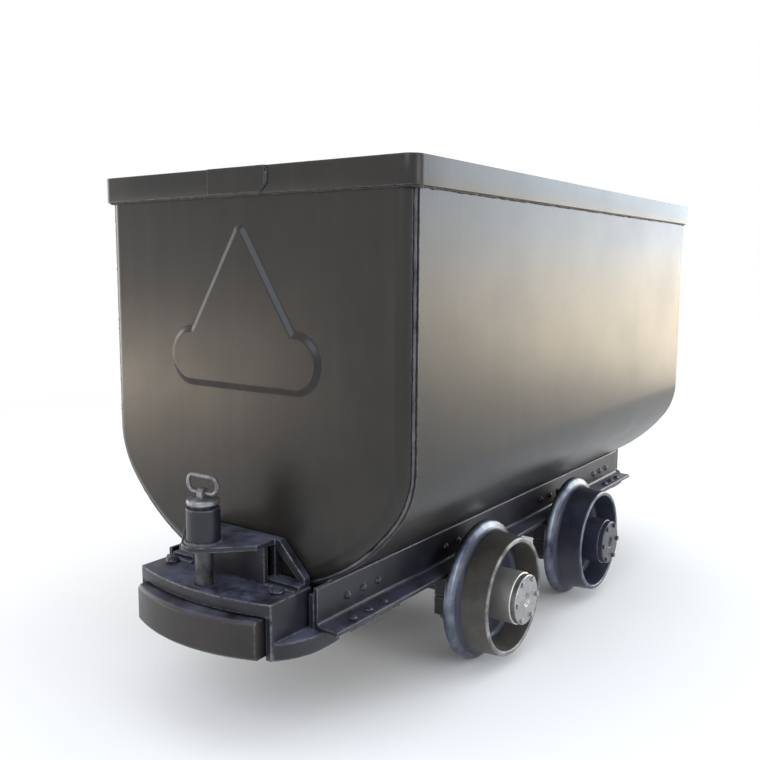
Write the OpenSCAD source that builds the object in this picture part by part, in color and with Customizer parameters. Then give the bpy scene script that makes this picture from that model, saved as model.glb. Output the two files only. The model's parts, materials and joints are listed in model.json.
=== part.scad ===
// Fixed-body mine car with a U-shaped tub, four free-turning wheels, sprung buffers and pin couplings.
// X runs along the car with the front end at -X, Y across it with the left side at -Y, and Z up.
// The origin lies midway under the car, at the lowest point of the wheel flanges.

/* [Track and wheels] */
// Distance between the inner faces of the rails
gauge = 600; // [580:1:640]
// Distance between the two axles
wheelbase = 550; // [500:1:620]
// Tread diameter of a wheel beside its flange
tread_d = 300; // [280:1:330]
// Height of a wheel flange above the tread
flange_h = 25; // [20:1:30]
// Width of a wheel flange from its back to the foot of the tread
flange_w = 27; // [24:1:32]
// How far the back of a wheel stands inside the rail face
wheel_back_in = 16; // [12:1:18]
// Width of a wheel from its back to its front edge
wheel_w = 102; // [95:1:115]
// Fall of the tread from flange to front edge
tread_fall = 5; // [2:1:8]
// Wall of the wheel rim at its front edge
rim_wall = 12; // [8:1:18]
// Draft of the rim wall inside the dish
rim_draft = 6; // [2:1:10]
// Thickness of the wheel disc
disc_t = 18; // [14:1:22]
// Setback of the wheel disc from the back of the wheel
disc_in = 16; // [10:1:22]
// Outer radius of the hub barrel
hub_r = 64; // [60:1:74]
// How far the hub reaches past the front edge of the wheel
hub_out = 32; // [28:1:38]
// How far the hub reaches inboard of the back of the wheel
hub_in = 13; // [11:1:14]
// Thickness of the hub cap
cap_t = 14; // [10:1:18]
// Radius of the recess in the middle of the hub cap
cap_recess_r = 16; // [10:1:24]
// Number of hub cap bolts
cap_bolt_count = 6; // [4:1:8]

/* [Axles and bearings] */
// Radius of the axle in its seats
axle_r = 32; // [29:0.5:33]
// Radius of the inner bearing journal
inner_journal_r = 25; // [23:0.5:26]
// Radius of the outer bearing journal
outer_journal_r = 20; // [18:0.5:21]
// Radius of the axle's threaded end
axle_thread_r = 18; // [15:0.5:18]
// Outer radius of the inner bearing cup
inner_cup_r = 45; // [43:0.5:46]
// Outer radius of the outer bearing cup
outer_cup_r = 40; // [38:0.5:42]
// Wall of a bearing cup
cup_wall = 6; // [5:0.5:7]
// Width of the inner bearing
inner_bearing_w = 22; // [18:1:24]
// Width of the outer bearing
outer_bearing_w = 20; // [16:1:22]
// Wall of a bearing cone
cone_wall = 6; // [5:0.5:7]
// Number of rollers in a bearing
roller_count = 14; // [10:1:15]
// Width of the hub seal
seal_w = 6; // [5:0.5:8]
// Height of the axle nut with its washer
nut_h = 16; // [12:1:18]
// Gap between the axle's end and the hub cap
cap_play = 4; // [2:0.5:6]
// Running clearance of a bearing or a sliding shaft, on the radius
run_gap = 0.05; // [0.02:0.01:0.1]

/* [Axle seats] */
// Height from the axle line to the underside of the sill
seat_h = 65; // [62:1:75]
// Half length of an axle seat along the car
seat_half_l = 110; // [105:1:125]
// Radius of the gusset where a seat meets the sill
seat_gusset_r = 20; // [10:1:30]
// Depth of the keeper under the axle line
keeper_h = 47; // [42:1:55]
// Thickness of the seat's upright flange behind the sill
seat_flange_t = 12; // [10:1:13]
// Height of the seat's upright flange above the sill's underside
seat_flange_h = 66; // [60:1:70]
// Half length of the seat's upright flange
seat_flange_half_l = 75; // [65:1:90]
// Gap between hub and axle seat
seat_hub_gap = 9; // [6:1:11]
// Distance of the seat bolts from the axle
seat_bolt_x = 82; // [76:1:90]
// Radius of a seat bolt
seat_bolt_r = 10; // [8:0.5:11]
// Spacing of the three rivets that hold a seat to the sill's web
seat_rivet_pitch = 60; // [45:1:62]

/* [Sills] */
// Width of the sill's foot beyond its web
foot_w = 52; // [48:1:58]
// Thickness of the sill's foot
foot_t = 10; // [8:0.5:12]
// Thickness of the sill's web
web_t = 9; // [7:0.5:11]
// Gap between the sill's foot and the back of a wheel
foot_gap = 10; // [8:1:12]
// Gap between the tub and the inner edge of the sill's top
sill_gap = 0.2; // [0.1:0.1:2]
// How far a sill reaches past the tub's end plate
sill_past = 21; // [10:1:24]
// Radius of a rivet shank
rivet_r = 7; // [5:0.5:8]
// Radius of a rivet head
rivet_head_r = 10; // [9:0.5:12]
// Spacing of the rivets in a row
rivet_pitch = 55; // [45:1:60]
// Height of the web rivets above the top of the sill's foot
rivet_up = 35; // [32:1:40]

/* [Tub] */
// Length of the tub over its end plates
tub_l = 1622; // [1560:1:1800]
// Width of the tub over its side walls
tub_w = 864; // [850:1:920]
// Height of the rim above the rail
rim_h = 1150; // [1050:1:1250]
// Thickness of the tub's sheet
sheet_t = 6; // [4:0.5:8]
// Height of the tub's lowest line above the sill's foot
tub_rise = 32; // [30:1:44]
// Radius of the bend between side wall and floor
bend_r = 190; // [150:1:230]
// Outer radius of the rolled edge of an end plate
end_edge_r = 34; // [26:1:42]
// From the face of an end plate back to the end of the trough sheet
lap_in = 20; // [14:1:24]
// Length of an end plate's turned edge that lies flat inside the trough
lap_l = 30; // [20:1:45]
// Height of the rim band
band_h = 56; // [45:1:70]
// Thickness of the rim band
band_t = 8; // [6:1:10]
// Length of a rim splice
splice_l = 164; // [120:1:200]
// Thickness of a rim splice
splice_t = 5; // [4:0.5:6]
// Gap between pieces that are welded or seated on each other
seat_gap = 0.1; // [0.05:0.05:0.2]

/* [End pressing] */
// How far the pressing stands out of an end plate
press_h = 7; // [5:1:12]
// Radius of the round ends of the pressing
press_r = 67; // [55:1:75]
// Half distance between the centres of those ends
press_half = 152; // [120:1:180]
// Depth of those centres below the rim
press_down = 397; // [370:1:430]
// Depth of the pressing's point below the rim
press_point_down = 96; // [85:1:125]
// Half width of the pressing's triangle at its foot
press_tri_half = 170; // [150:1:185]

/* [Saddles] */
// Distance of a saddle from its axle
saddle_off = 190; // [170:1:210]
// Width of a saddle's pad along the car
saddle_w = 60; // [45:1:80]
// Thickness of a saddle's plates
saddle_t = 12; // [10:1:16]

/* [Bumper] */
// Reach of the buffer head past the tub's end plate
buffer_reach = 189; // [180:1:205]
// Radius of the buffer head's face
buffer_r = 420; // [380:1:480]
// Half width of the buffer head
buffer_half = 173; // [165:1:180]
// Depth of the buffer head from its back to the middle of its face
buffer_depth = 72; // [66:1:78]
// Width of the bevel along the edges of the buffer head's face
buffer_edge = 6; // [3:0.5:10]
// Thickness of the buffer rubber
rubber_t = 40; // [35:1:45]
// Radius of a buffer stem
stem_r = 12; // [10:0.5:13]
// Half distance between the two stems
stem_half = 100; // [85:1:115]
// Thickness of the casting's wall that guides the stems
guide_t = 24; // [20:1:28]
// Thickness of the casting's cheeks beside the buffer head
cheek_t = 16; // [12:1:20]
// Side gap between buffer head and cheek
cheek_gap = 3; // [2:0.5:5]
// Gap above and below the buffer head
head_gap = 4; // [3:0.5:6]
// How far the cheeks reach past the tub's end plate
cheek_past = 125; // [120:1:132]
// How far the middle of the deck's edge reaches past the tub's end plate
deck_past = 157; // [152:1:165]
// Thickness of the casting's base
base_t = 36; // [30:1:42]
// Setback of the base's sides from the edge of the sill's foot
base_inset = 40; // [34:1:46]
// Radius of the base's round front corners
base_corner_r = 144; // [130:1:155]
// How far the centres of those corners lie past the tub's end plate
base_corner_past = 18; // [10:1:26]
// How far the base's wide part reaches behind the tub's end plate
base_behind = 60; // [50:1:70]
// How far the casting's tail reaches behind the tub's end plate
tail_behind = 211; // [200:1:225]
// Thickness of the tail's side plates
tail_t = 14; // [11:1:16]
// Thickness of the casting's ears under the sills' feet
ear_t = 10; // [8:0.5:14]
// Height of the deck above the casting's base
deck_h = 82; // [76:1:90]
// Thickness of the deck
deck_t = 28; // [24:1:32]
// Gap between the tub's end plate and the deck and bridge
end_gap = 3; // [2:0.5:6]

/* [Coupling] */
// Height of the coupling mouth
mouth_h = 78; // [70:1:84]
// Half width of the coupling mouth between the bridge's posts
mouth_half = 96; // [88:1:104]
// Thickness of the bridge's plates
bridge_t = 12; // [10:1:14]
// How far the mouth's back plate stands past the tub's end plate
back_past = 54; // [50:1:60]
// Length of the bridge's posts and sloping legs along the car
gable_l = 18; // [14:1:24]
// Length of the bridge's foot plates along the car
sole_l = 36; // [30:1:40]
// Thickness of the bridge's foot plates
sole_t = 9; // [8:0.5:12]
// Half width over the bridge's foot plates
gable_half = 188; // [180:1:190]
// Distance of the coupling pin past the tub's end plate
pin_past = 118; // [114:1:122]
// Radius of the bridge's nose round the pin
nose_r = 46; // [42:1:50]
// Radius of the coupling pin
pin_r = 19; // [17:0.5:20]
// Clearance of the coupling pin in the deck and bridge
pin_gap = 1; // [0.5:0.1:2]
// Outer radius of the pin guide tube
tube_r = 35; // [32:0.5:38]
// Height of the pin guide tube
tube_h = 72; // [60:1:85]
// Radius of the pin's head
pin_head_r = 34; // [30:1:36]
// Thickness of the pin's head
pin_head_h = 15; // [12:1:18]
// Height of the collar under the pin's head
collar_h = 7; // [5:1:10]
// Radius of the ring's bar
ring_bar_r = 4.5; // [4:0.25:5]
// Radius of the ring's round ends, to the middle of the bar
ring_end_r = 17.5; // [15:0.5:20]
// Half length of the ring's straight sides
ring_half = 25; // [20:0.5:28]
// Height of the ring's pivot above the pin's head
eye_up = 8; // [7.5:0.25:10]
// Half width of the eye lug along the ring's bar
eye_half_w = 8; // [6:0.5:9]
// Radius of a deck bolt
deck_bolt_r = 9; // [7:0.5:10]
// Distance of the deck bolts past the tub's end plate
deck_bolt_past = 68; // [66:1:69]
// Half distance between the deck bolts
deck_bolt_half = 156; // [148:1:160]

/* [Hidden] */
$fn = 48;
LEFT = -1;
RIGHT = 1;
FRONT = -1;
REAR = 1;
// Allowance by which a cutting shape passes the face that it cuts
past = 1;

paint = [0.09, 0.09, 0.10];
frame_paint = [0.07, 0.07, 0.10];
wheel_paint = [0.10, 0.12, 0.18];
bare_steel = [0.62, 0.61, 0.59];
dark_steel = [0.30, 0.30, 0.31];
rubber_black = [0.04, 0.04, 0.04];

// Heights
tread_r = tread_d / 2;
flange_r = tread_r + flange_h;
axle_z = flange_r;
sill_bottom = axle_z + seat_h;
foot_top = sill_bottom + foot_t;
tub_bottom = foot_top + tub_rise;
rim_top = rim_h + flange_h;

// Tub section: side walls, bends and floor are arcs and lines that run into each other.
// Each bend turns by the smaller angle of a triangle with sides of 3, 4 and 5.
bend_sin = 3 / 5;
bend_cos = 4 / 5;
bend_deg = asin(bend_sin);
tub_half = tub_w / 2;
end_x = tub_l / 2;
seam_x = end_x - lap_in;
roll_x = end_x - end_edge_r;
lap = sheet_t + seat_gap;
bend_y = tub_half - bend_r;
floor_r = bend_r + bend_y / bend_cos;
floor_z = tub_bottom + floor_r;
bend_z = floor_z - bend_y * bend_sin / bend_cos;
function tub_under(y) = floor_z - sqrt(floor_r * floor_r - y * y);

// Places across the car, as distances from its middle plane
wheel_back = gauge / 2 - wheel_back_in;
wheel_front = wheel_back + wheel_w;
hub_back = wheel_back - hub_in;
hub_front = wheel_front + hub_out;
foot_edge = wheel_back - foot_gap;
web_out = foot_edge - foot_w;
web_in = web_out - web_t;
seat_out = hub_back - seat_hub_gap;
seat_in = web_in - seat_flange_t;
seat_bolt_y = (web_out + seat_out) / 2;
seat_bolt_top = axle_z + seat_h * 0.6;
sill_top = tub_under(web_in) - sill_gap;
sill_half_l = end_x + sill_past;

// Bearings, from the axle's shoulder outwards
shoulder = hub_back + seal_w;
inner_bearing_end = shoulder + inner_bearing_w;
cap_back = hub_front - cap_t;
axle_end = cap_back - cap_play;
outer_bearing_end = axle_end - nut_h;
outer_bearing_start = outer_bearing_end - outer_bearing_w;
nut_bore_r = outer_cup_r + cup_wall;
bore_relief_r = outer_cup_r - cup_wall / 2;
seal_r = inner_cup_r + cup_wall / 3;
hub_neck_r = seal_r + 2 * cup_wall;
cap_r = hub_r - rim_wall / 4;
cap_bolt_r = cup_wall * 0.65;
cap_bolt_ring = (nut_bore_r + hub_r) / 2 - cup_wall / 2;

// Bolts and nuts, from the shank's radius
hex_r = 1.75;
head_rise = 1.3;
nut_rise = 1.6;

// Bumper, as distances past the tub's end plate and heights
base_top = sill_bottom;
base_bottom = base_top - base_t;
deck_top = base_top + deck_h;
deck_under = deck_top - deck_t;
head_low = base_bottom + head_gap * 1.5;
head_high = deck_under - head_gap;
head_back = buffer_reach - buffer_depth;
guide_front = head_back - rubber_t;
guide_back = guide_front - guide_t;
pocket_half = buffer_half + cheek_gap;
cheek_half = pocket_half + cheek_t;
base_half = foot_edge - base_inset;
stem_z = (base_top + deck_under) / 2;
nut_gap = 0.3;
stem_nut_h = stem_r * nut_rise;
stem_end = guide_back - nut_gap - stem_nut_h - stem_r / 3;
rivet_mid = -tail_behind + rivet_pitch * 1.4;
foot_rivet_mid = rivet_mid + rivet_r * 3.4;
foot_rivet_y = foot_edge - 2 * rivet_head_r;
ear_half = foot_edge - rivet_head_r * 0.7;
ear_end = foot_rivet_mid + rivet_pitch + 2 * rivet_head_r;
tail_top = min(sill_top, deck_top) - web_t;

// Coupling, as heights
bridge_under = deck_top + mouth_h;
bridge_top = bridge_under + bridge_t;
tube_top = bridge_top + tube_h;
collar_low = tube_top + nut_gap;
pin_head_low = collar_low + collar_h;
pin_head_top = pin_head_low + pin_head_h;
pin_tip = deck_under + pin_gap;
eye_z = pin_head_top + eye_up;
eye_r = ring_bar_r * 2.4;
bridge_half = mouth_half + bridge_t;

// Turns a shape drawn across the car so that it is extruded along X
module along_x(x0, length) {
    translate([x0, 0, 0])
        rotate([90, 0, 90])
            linear_extrude(length)
                children();
}

// Turns a shape drawn in X and Z so that it is extruded along Y
module along_y(y0, length) {
    translate([0, y0 + length, 0])
        rotate([90, 0, 0])
            linear_extrude(length)
                children();
}

// Places a bumper piece drawn past the tub's end plate at +X
module at_end(end) {
    rotate([0, 0, end == FRONT ? 180 : 0])
        translate([end_x, 0, 0])
            children();
}

// Places a wheel piece drawn about Z, with Z as the distance from the car's middle plane
module at_wheel(end, side) {
    translate([end * wheelbase / 2, 0, axle_z])
        rotate([side == LEFT ? 90 : -90, 0, 0])
            children();
}

// Section through the tub, shrunk by an inset and reaching up to a given height
module tub_section(inset, top) {
    half = tub_half - inset;
    wide = 2 * floor_r;
    translate([-half, bend_z])
        square([2 * half, top - bend_z]);
    for (side = [-1, 1])
        translate([side * bend_y, bend_z])
            circle(r = bend_r - inset, $fn = 96);
    intersection() {
        translate([0, floor_z])
            circle(r = floor_r - inset, $fn = 192);
        polygon([[0, floor_z],
                 [-wide * bend_cos, floor_z - wide * bend_sin],
                 [wide * bend_cos, floor_z - wide * bend_sin]]);
    }
}

// Rolled edge of an end plate, in distance from a bend's centre and X
module edge_section(radius) {
    translate([radius - lap - end_edge_r, roll_x])
        intersection() {
            difference() {
                circle(r = end_edge_r);
                circle(r = end_edge_r - sheet_t);
            }
            square(end_edge_r);
        }
}

// The rolled edge swept round half of the tub's section, in stretches that overlap within each arc
module swept_edge() {
    bend_part = bend_deg * 0.7;
    floor_part = (90 - bend_deg) * 1.2;
    translate([0, 0, bend_z])
        mirror([1, -1, 0])
            linear_extrude(rim_top - bend_z)
                edge_section(tub_half);
    translate([0, bend_y, bend_z])
        rotate([90, 0, 90]) {
            mirror([0, 1, 0])
                rotate_extrude(angle = bend_part, $fn = 96)
                    edge_section(bend_r);
            rotate([0, 0, -bend_deg])
                rotate_extrude(angle = bend_part, $fn = 96)
                    edge_section(bend_r);
        }
    translate([0, 0, floor_z])
        rotate([90, 0, 90])
            rotate([0, 0, -bend_deg])
                mirror([0, 1, 0])
                    rotate_extrude(angle = floor_part, $fn = 192)
                        edge_section(floor_r);
}

// Outline of the end plate's pressing, shrunk by an inset
module pressing_outline(inset) {
    low_z = rim_top - press_down;
    foot_z = low_z + press_r / 2;
    point_z = rim_top - press_point_down;
    slope = atan(press_tri_half / (point_z - foot_z));
    tip_z = point_z - inset / sin(slope);
    half = (tip_z - foot_z) * tan(slope);
    translate([-press_half, low_z - press_r + inset])
        square([2 * press_half, 2 * (press_r - inset)]);
    for (side = [-1, 1])
        translate([side * press_half, low_z])
            circle(r = press_r - inset);
    polygon([[-half, foot_z], [half, foot_z], [0, tip_z]]);
}

module end_plate() {
    color(paint)
        difference() {
            union() {
                for (side = [0, 1])
                    mirror([0, side, 0])
                        swept_edge();
                along_x(roll_x - lap_l, lap_l)
                    difference() {
                        tub_section(lap, rim_top);
                        tub_section(lap + sheet_t, rim_top + past);
                    }
                along_x(end_x - sheet_t, sheet_t)
                    tub_section(lap + end_edge_r, rim_top);
                along_x(end_x - sheet_t, sheet_t + press_h)
                    pressing_outline(0);
            }
            along_x(end_x - 2 * sheet_t, sheet_t + press_h)
                pressing_outline(sheet_t);
        }
}

module trough_sheet() {
    color(paint)
        along_x(-seam_x, 2 * seam_x)
            difference() {
                tub_section(0, rim_top);
                tub_section(sheet_t, rim_top + past);
            }
}

module front_end_plate() {
    mirror([1, 0, 0])
        end_plate();
}

module rear_end_plate() {
    end_plate();
}

// Plan of the tub with its rounded corners, grown by an offset
module tub_plan(grow) {
    square([2 * (end_x + grow), 2 * (tub_half - lap_in)], center = true);
    square([2 * seam_x, 2 * (tub_half + grow)], center = true);
    for (x = [-1, 1])
        for (y = [-1, 1])
            translate([x * seam_x, y * (tub_half - lap_in)])
                circle(r = lap_in + grow);
}

module rim_band(side) {
    color(paint)
        translate([0, 0, rim_top - band_h])
            linear_extrude(band_h)
                intersection() {
                    difference() {
                        tub_plan(band_t);
                        tub_plan(seat_gap);
                    }
                    translate([-tub_l, side == LEFT ? -tub_w : 0])
                        square([2 * tub_l, tub_w]);
                }
}

module left_rim_band() {
    rim_band(LEFT);
}

module right_rim_band() {
    rim_band(RIGHT);
}

module rim_splice() {
    low = rim_top - band_h + splice_t / 2;
    corner = splice_l / 10;
    half = splice_l / 2;
    color(paint)
        along_x(band_t, splice_t)
            polygon([[-half, low], [half - corner, low], [half, low + corner],
                     [half, rim_top], [-half, rim_top]]);
}

module front_rim_splice() {
    at_end(FRONT)
        rim_splice();
}

module rear_rim_splice() {
    at_end(REAR)
        rim_splice();
}

// Places where rivets hold the casting's tail and the axle seats to a sill's web
web_rivet_x = concat(
    [for (end = [-1, 1]) for (i = [-1, 0, 1]) end * (end_x + rivet_mid + i * rivet_pitch)],
    [for (end = [-1, 1]) for (i = [-1, 0, 1]) end * wheelbase / 2 + i * seat_rivet_pitch]
);
// Places where rivets hold the sill's foot to the casting's ears
foot_rivet_x = [for (end = [-1, 1]) for (i = [-1, 0, 1]) end * (end_x + foot_rivet_mid + i * rivet_pitch)];
web_rivet_z = foot_top + rivet_up;

// Round head of a rivet, standing on Z = 0
module rivet_head() {
    sunk = rivet_head_r * 0.38;
    intersection() {
        translate([0, 0, -sunk])
            sphere(r = sqrt(rivet_head_r * rivet_head_r + sunk * sunk));
        cylinder(r = 2 * rivet_head_r, h = 2 * rivet_head_r);
    }
}

// A rivet that starts at Z = 0 and grips a given thickness
module rivet(grip, lower_head) {
    cylinder(r = rivet_r, h = grip + past);
    translate([0, 0, grip])
        rivet_head();
    if (lower_head) {
        translate([0, 0, -past])
            cylinder(r = rivet_r, h = 2 * past);
        mirror([0, 0, 1])
            rivet_head();
    }
}

module web_rivet_holes() {
    for (x = web_rivet_x)
        translate([x, web_out + past, web_rivet_z])
            rotate([90, 0, 0])
                cylinder(r = rivet_r + seat_gap, h = web_t + tail_t + seat_flange_t + 2 * past);
}

module foot_rivet_holes() {
    for (x = foot_rivet_x)
        translate([x, foot_rivet_y, base_top - ear_t])
            cylinder(r = rivet_r + seat_gap, h = ear_t + foot_t + past);
}

module seat_bolt_holes() {
    low = axle_z - keeper_h - past;
    for (end = [-1, 1])
        for (i = [-1, 1])
            translate([end * wheelbase / 2 + i * seat_bolt_x, seat_bolt_y, low])
                cylinder(r = seat_bolt_r + seat_gap, h = seat_bolt_top + seat_gap - low);
}

// The right sill, with its foot turned outwards
module sill() {
    inner_r = web_t;
    color(frame_paint)
        difference() {
            along_x(-sill_half_l, 2 * sill_half_l) {
                translate([web_in, sill_bottom])
                    square([web_t, sill_top - sill_bottom]);
                translate([web_in, sill_bottom])
                    square([foot_edge - web_in, foot_t]);
                difference() {
                    translate([web_out - past, foot_top - past])
                        square(inner_r + past);
                    translate([web_out + inner_r, foot_top + inner_r])
                        circle(r = inner_r);
                }
            }
            web_rivet_holes();
            foot_rivet_holes();
        }
}

module left_sill() {
    mirror([0, 1, 0])
        sill();
}

module right_sill() {
    sill();
}

// Cross member with a curved pad under the tub
module saddle(end) {
    pad_in = floor_r + seat_gap;
    saddle_half = web_in - seat_gap;
    color(frame_paint)
        translate([end * (wheelbase / 2 + saddle_off), 0, 0]) {
            along_x(-saddle_w / 2, saddle_w)
                intersection() {
                    difference() {
                        translate([0, floor_z])
                            circle(r = pad_in + saddle_t, $fn = 192);
                        translate([0, floor_z])
                            circle(r = pad_in, $fn = 192);
                    }
                    translate([-saddle_half, sill_bottom])
                        square([2 * saddle_half, sill_top]);
                }
            along_x(-saddle_t / 2, saddle_t)
                difference() {
                    translate([-saddle_half, sill_bottom])
                        square([2 * saddle_half, sill_top - sill_bottom + sill_gap]);
                    translate([0, floor_z])
                        circle(r = pad_in + saddle_t / 2, $fn = 192);
                }
            translate([-saddle_w / 2, -saddle_half, sill_bottom])
                cube([saddle_w, 2 * saddle_half, saddle_t]);
        }
}

module front_saddle() {
    saddle(FRONT);
}

module rear_saddle() {
    saddle(REAR);
}

split_gap = 1;

// Right axle seat: block under the sill's foot, root under its web and flange behind the web
module axle_seat(end) {
    low = axle_z + split_gap;
    color(frame_paint)
        translate([end * wheelbase / 2, 0, 0])
            difference() {
                union() {
                    along_y(web_out, seat_out - web_out) {
                        translate([-seat_half_l, low])
                            square([2 * seat_half_l, sill_bottom - low]);
                        for (side = [0, 1])
                            mirror([side, 0])
                                difference() {
                                    translate([seat_half_l - past, sill_bottom - seat_gusset_r])
                                        square([seat_gusset_r + past, seat_gusset_r]);
                                    translate([seat_half_l + seat_gusset_r, sill_bottom - seat_gusset_r])
                                        circle(r = seat_gusset_r);
                                }
                    }
                    translate([-seat_flange_half_l, seat_in, low])
                        cube([2 * seat_flange_half_l, web_out - seat_in + past, sill_bottom - low]);
                    translate([-seat_flange_half_l, seat_in, sill_bottom - past])
                        cube([2 * seat_flange_half_l, seat_flange_t - seat_gap, seat_flange_h + past]);
                }
                translate([0, 0, axle_z])
                    rotate([-90, 0, 0])
                        cylinder(r = axle_r + run_gap, h = seat_out + past);
                translate([-end * wheelbase / 2, 0, 0]) {
                    web_rivet_holes();
                    seat_bolt_holes();
                }
            }
}

module placed_seat(end, side) {
    mirror([0, side == LEFT ? 1 : 0, 0])
        axle_seat(end);
}

module front_left_axle_seat() {
    placed_seat(FRONT, LEFT);
}

module front_right_axle_seat() {
    placed_seat(FRONT, RIGHT);
}

module rear_left_axle_seat() {
    placed_seat(REAR, LEFT);
}

module rear_right_axle_seat() {
    placed_seat(REAR, RIGHT);
}

module axle_keepers() {
    color(frame_paint)
        for (side = [0, 1])
            mirror([0, side, 0])
                difference() {
                    for (end = [-1, 1])
                        translate([end * wheelbase / 2 - seat_half_l, web_out, axle_z - keeper_h])
                            cube([2 * seat_half_l, seat_out - web_out, keeper_h - split_gap]);
                    for (end = [-1, 1])
                        translate([end * wheelbase / 2, 0, axle_z])
                            rotate([-90, 0, 0])
                                cylinder(r = axle_r + run_gap, h = seat_out + past);
                    seat_bolt_holes();
                }
}

module seat_bolts() {
    keeper_low = axle_z - keeper_h;
    color(dark_steel)
        for (side = [-1, 1])
            for (end = [-1, 1])
                for (i = [-1, 1])
                    translate([end * wheelbase / 2 + i * seat_bolt_x, side * seat_bolt_y, keeper_low]) {
                        translate([0, 0, -past])
                            cylinder(r = seat_bolt_r, h = seat_bolt_top - keeper_low + past);
                        translate([0, 0, -seat_bolt_r * head_rise])
                            cylinder(r = seat_bolt_r * hex_r, h = seat_bolt_r * head_rise, $fn = 6);
                    }
}

module sill_rivets() {
    color(dark_steel)
        for (side = [0, 1])
            mirror([0, side, 0]) {
                for (x = web_rivet_x) {
                    grip = web_t + (abs(x) > wheelbase / 2 + seat_half_l ? tail_t : seat_flange_t);
                    translate([x, web_out - grip, web_rivet_z])
                        rotate([-90, 0, 0])
                            rivet(grip, true);
                }
                for (x = foot_rivet_x)
                    translate([x, foot_rivet_y, base_top - ear_t])
                        rivet(ear_t + foot_t, false);
            }
}

module axle(end) {
    color(dark_steel)
        for (side = [LEFT, RIGHT])
            at_wheel(end, side)
                rotate_extrude()
                    polygon([[0, 0], [axle_r, 0], [axle_r, shoulder], [inner_journal_r, shoulder],
                             [inner_journal_r, outer_bearing_start], [outer_journal_r, outer_bearing_start],
                             [outer_journal_r, outer_bearing_end], [axle_thread_r, outer_bearing_end],
                             [axle_thread_r, axle_end], [0, axle_end]]);
}

module front_axle() {
    axle(FRONT);
}

module rear_axle() {
    axle(REAR);
}

// Bearing cone with its ring of rollers
module cone(journal_r, race_r, start, width) {
    bore = journal_r + seat_gap / 2;
    roller_out = race_r - run_gap;
    ring_r = journal_r + cone_wall;
    roller_r = (roller_out - ring_r) / 2 + cone_wall / 8;
    translate([0, 0, start]) {
        difference() {
            cylinder(r = ring_r, h = width);
            translate([0, 0, -past])
                cylinder(r = bore, h = width + 2 * past);
        }
        for (i = [0 : roller_count - 1])
            rotate([0, 0, i * 360 / roller_count])
                translate([roller_out - roller_r, 0, width / 8])
                    cylinder(r = roller_r, h = width * 3 / 4, $fn = 24);
    }
}

module bearing_cones() {
    color(bare_steel)
        for (end = [FRONT, REAR])
            for (side = [LEFT, RIGHT])
                at_wheel(end, side) {
                    cone(inner_journal_r, inner_cup_r - cup_wall, shoulder, inner_bearing_w);
                    cone(outer_journal_r, outer_cup_r - cup_wall, outer_bearing_start, outer_bearing_w);
                }
}

module axle_nuts() {
    washer_h = nut_h / 5;
    color(bare_steel)
        for (end = [FRONT, REAR])
            for (side = [LEFT, RIGHT])
                at_wheel(end, side)
                    translate([0, 0, outer_bearing_end])
                        difference() {
                            union() {
                                cylinder(r = outer_journal_r + cone_wall, h = washer_h);
                                cylinder(r = axle_thread_r + cone_wall * 1.4, h = nut_h - washer_h, $fn = 6);
                            }
                            translate([0, 0, -past])
                                cylinder(r = axle_thread_r + seat_gap, h = nut_h + 2 * past);
                        }
}

// Holes for the hub cap's bolts, up to a given distance from the car's middle plane
module cap_bolt_holes(top) {
    low = cap_back - cap_t - seat_gap;
    for (i = [0 : cap_bolt_count - 1])
        rotate([0, 0, i * 360 / cap_bolt_count])
            translate([cap_bolt_ring, 0, low])
                cylinder(r = cap_bolt_r + seat_gap, h = top - low);
}

// Wheel in section, as radius and distance from the car's middle plane
module wheel_section() {
    disc_back = wheel_back + disc_in;
    disc_front = disc_back + disc_t;
    flange_end = wheel_back + flange_w;
    front_r = tread_r - tread_fall;
    rim_in = front_r - rim_wall;
    ease = rim_wall / 4;
    polygon([[seal_r, hub_back], [hub_neck_r, hub_back], [hub_neck_r, disc_back],
             [rim_in - 2 * rim_draft, disc_back], [rim_in - rim_draft, wheel_back],
             [flange_r - flange_w / 4, wheel_back], [flange_r, wheel_back + flange_w / 3],
             [flange_r, wheel_back + flange_w / 2], [flange_r - flange_h / 6, wheel_back + flange_w * 0.7],
             [tread_r + flange_h / 6, wheel_back + flange_w * 0.9], [tread_r, flange_end],
             [front_r, wheel_front - ease], [front_r - ease, wheel_front], [rim_in, wheel_front],
             [rim_in - rim_draft, disc_front + rim_draft], [rim_in - 2 * rim_draft, disc_front],
             [hub_r + rim_draft, disc_front], [hub_r, disc_front + rim_draft],
             [hub_r, cap_back - ease], [hub_r - ease, cap_back],
             [nut_bore_r, cap_back], [nut_bore_r, outer_bearing_end + ease],
             [outer_cup_r, outer_bearing_end + ease], [outer_cup_r, outer_bearing_start],
             [bore_relief_r, outer_bearing_start], [bore_relief_r, inner_bearing_end],
             [inner_cup_r, inner_bearing_end], [inner_cup_r, shoulder], [seal_r, shoulder]]);
}

module wheel() {
    color(wheel_paint)
        difference() {
            rotate_extrude($fn = 96)
                wheel_section();
            cap_bolt_holes(cap_back + past);
        }
}

module cup(radius, start, width) {
    translate([0, 0, start])
        difference() {
            cylinder(r = radius - seat_gap / 2, h = width);
            translate([0, 0, -past])
                cylinder(r = radius - cup_wall, h = width + 2 * past);
        }
}

module bearing_cups() {
    color(bare_steel) {
        cup(inner_cup_r, shoulder, inner_bearing_w);
        cup(outer_cup_r, outer_bearing_start, outer_bearing_w);
    }
}

module hub_seal() {
    color(rubber_black)
        translate([0, 0, hub_back])
            difference() {
                cylinder(r = seal_r - seat_gap / 2, h = seal_w - nut_gap);
                translate([0, 0, -past])
                    cylinder(r = axle_r + run_gap, h = seal_w + 2 * past);
            }
}

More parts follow.
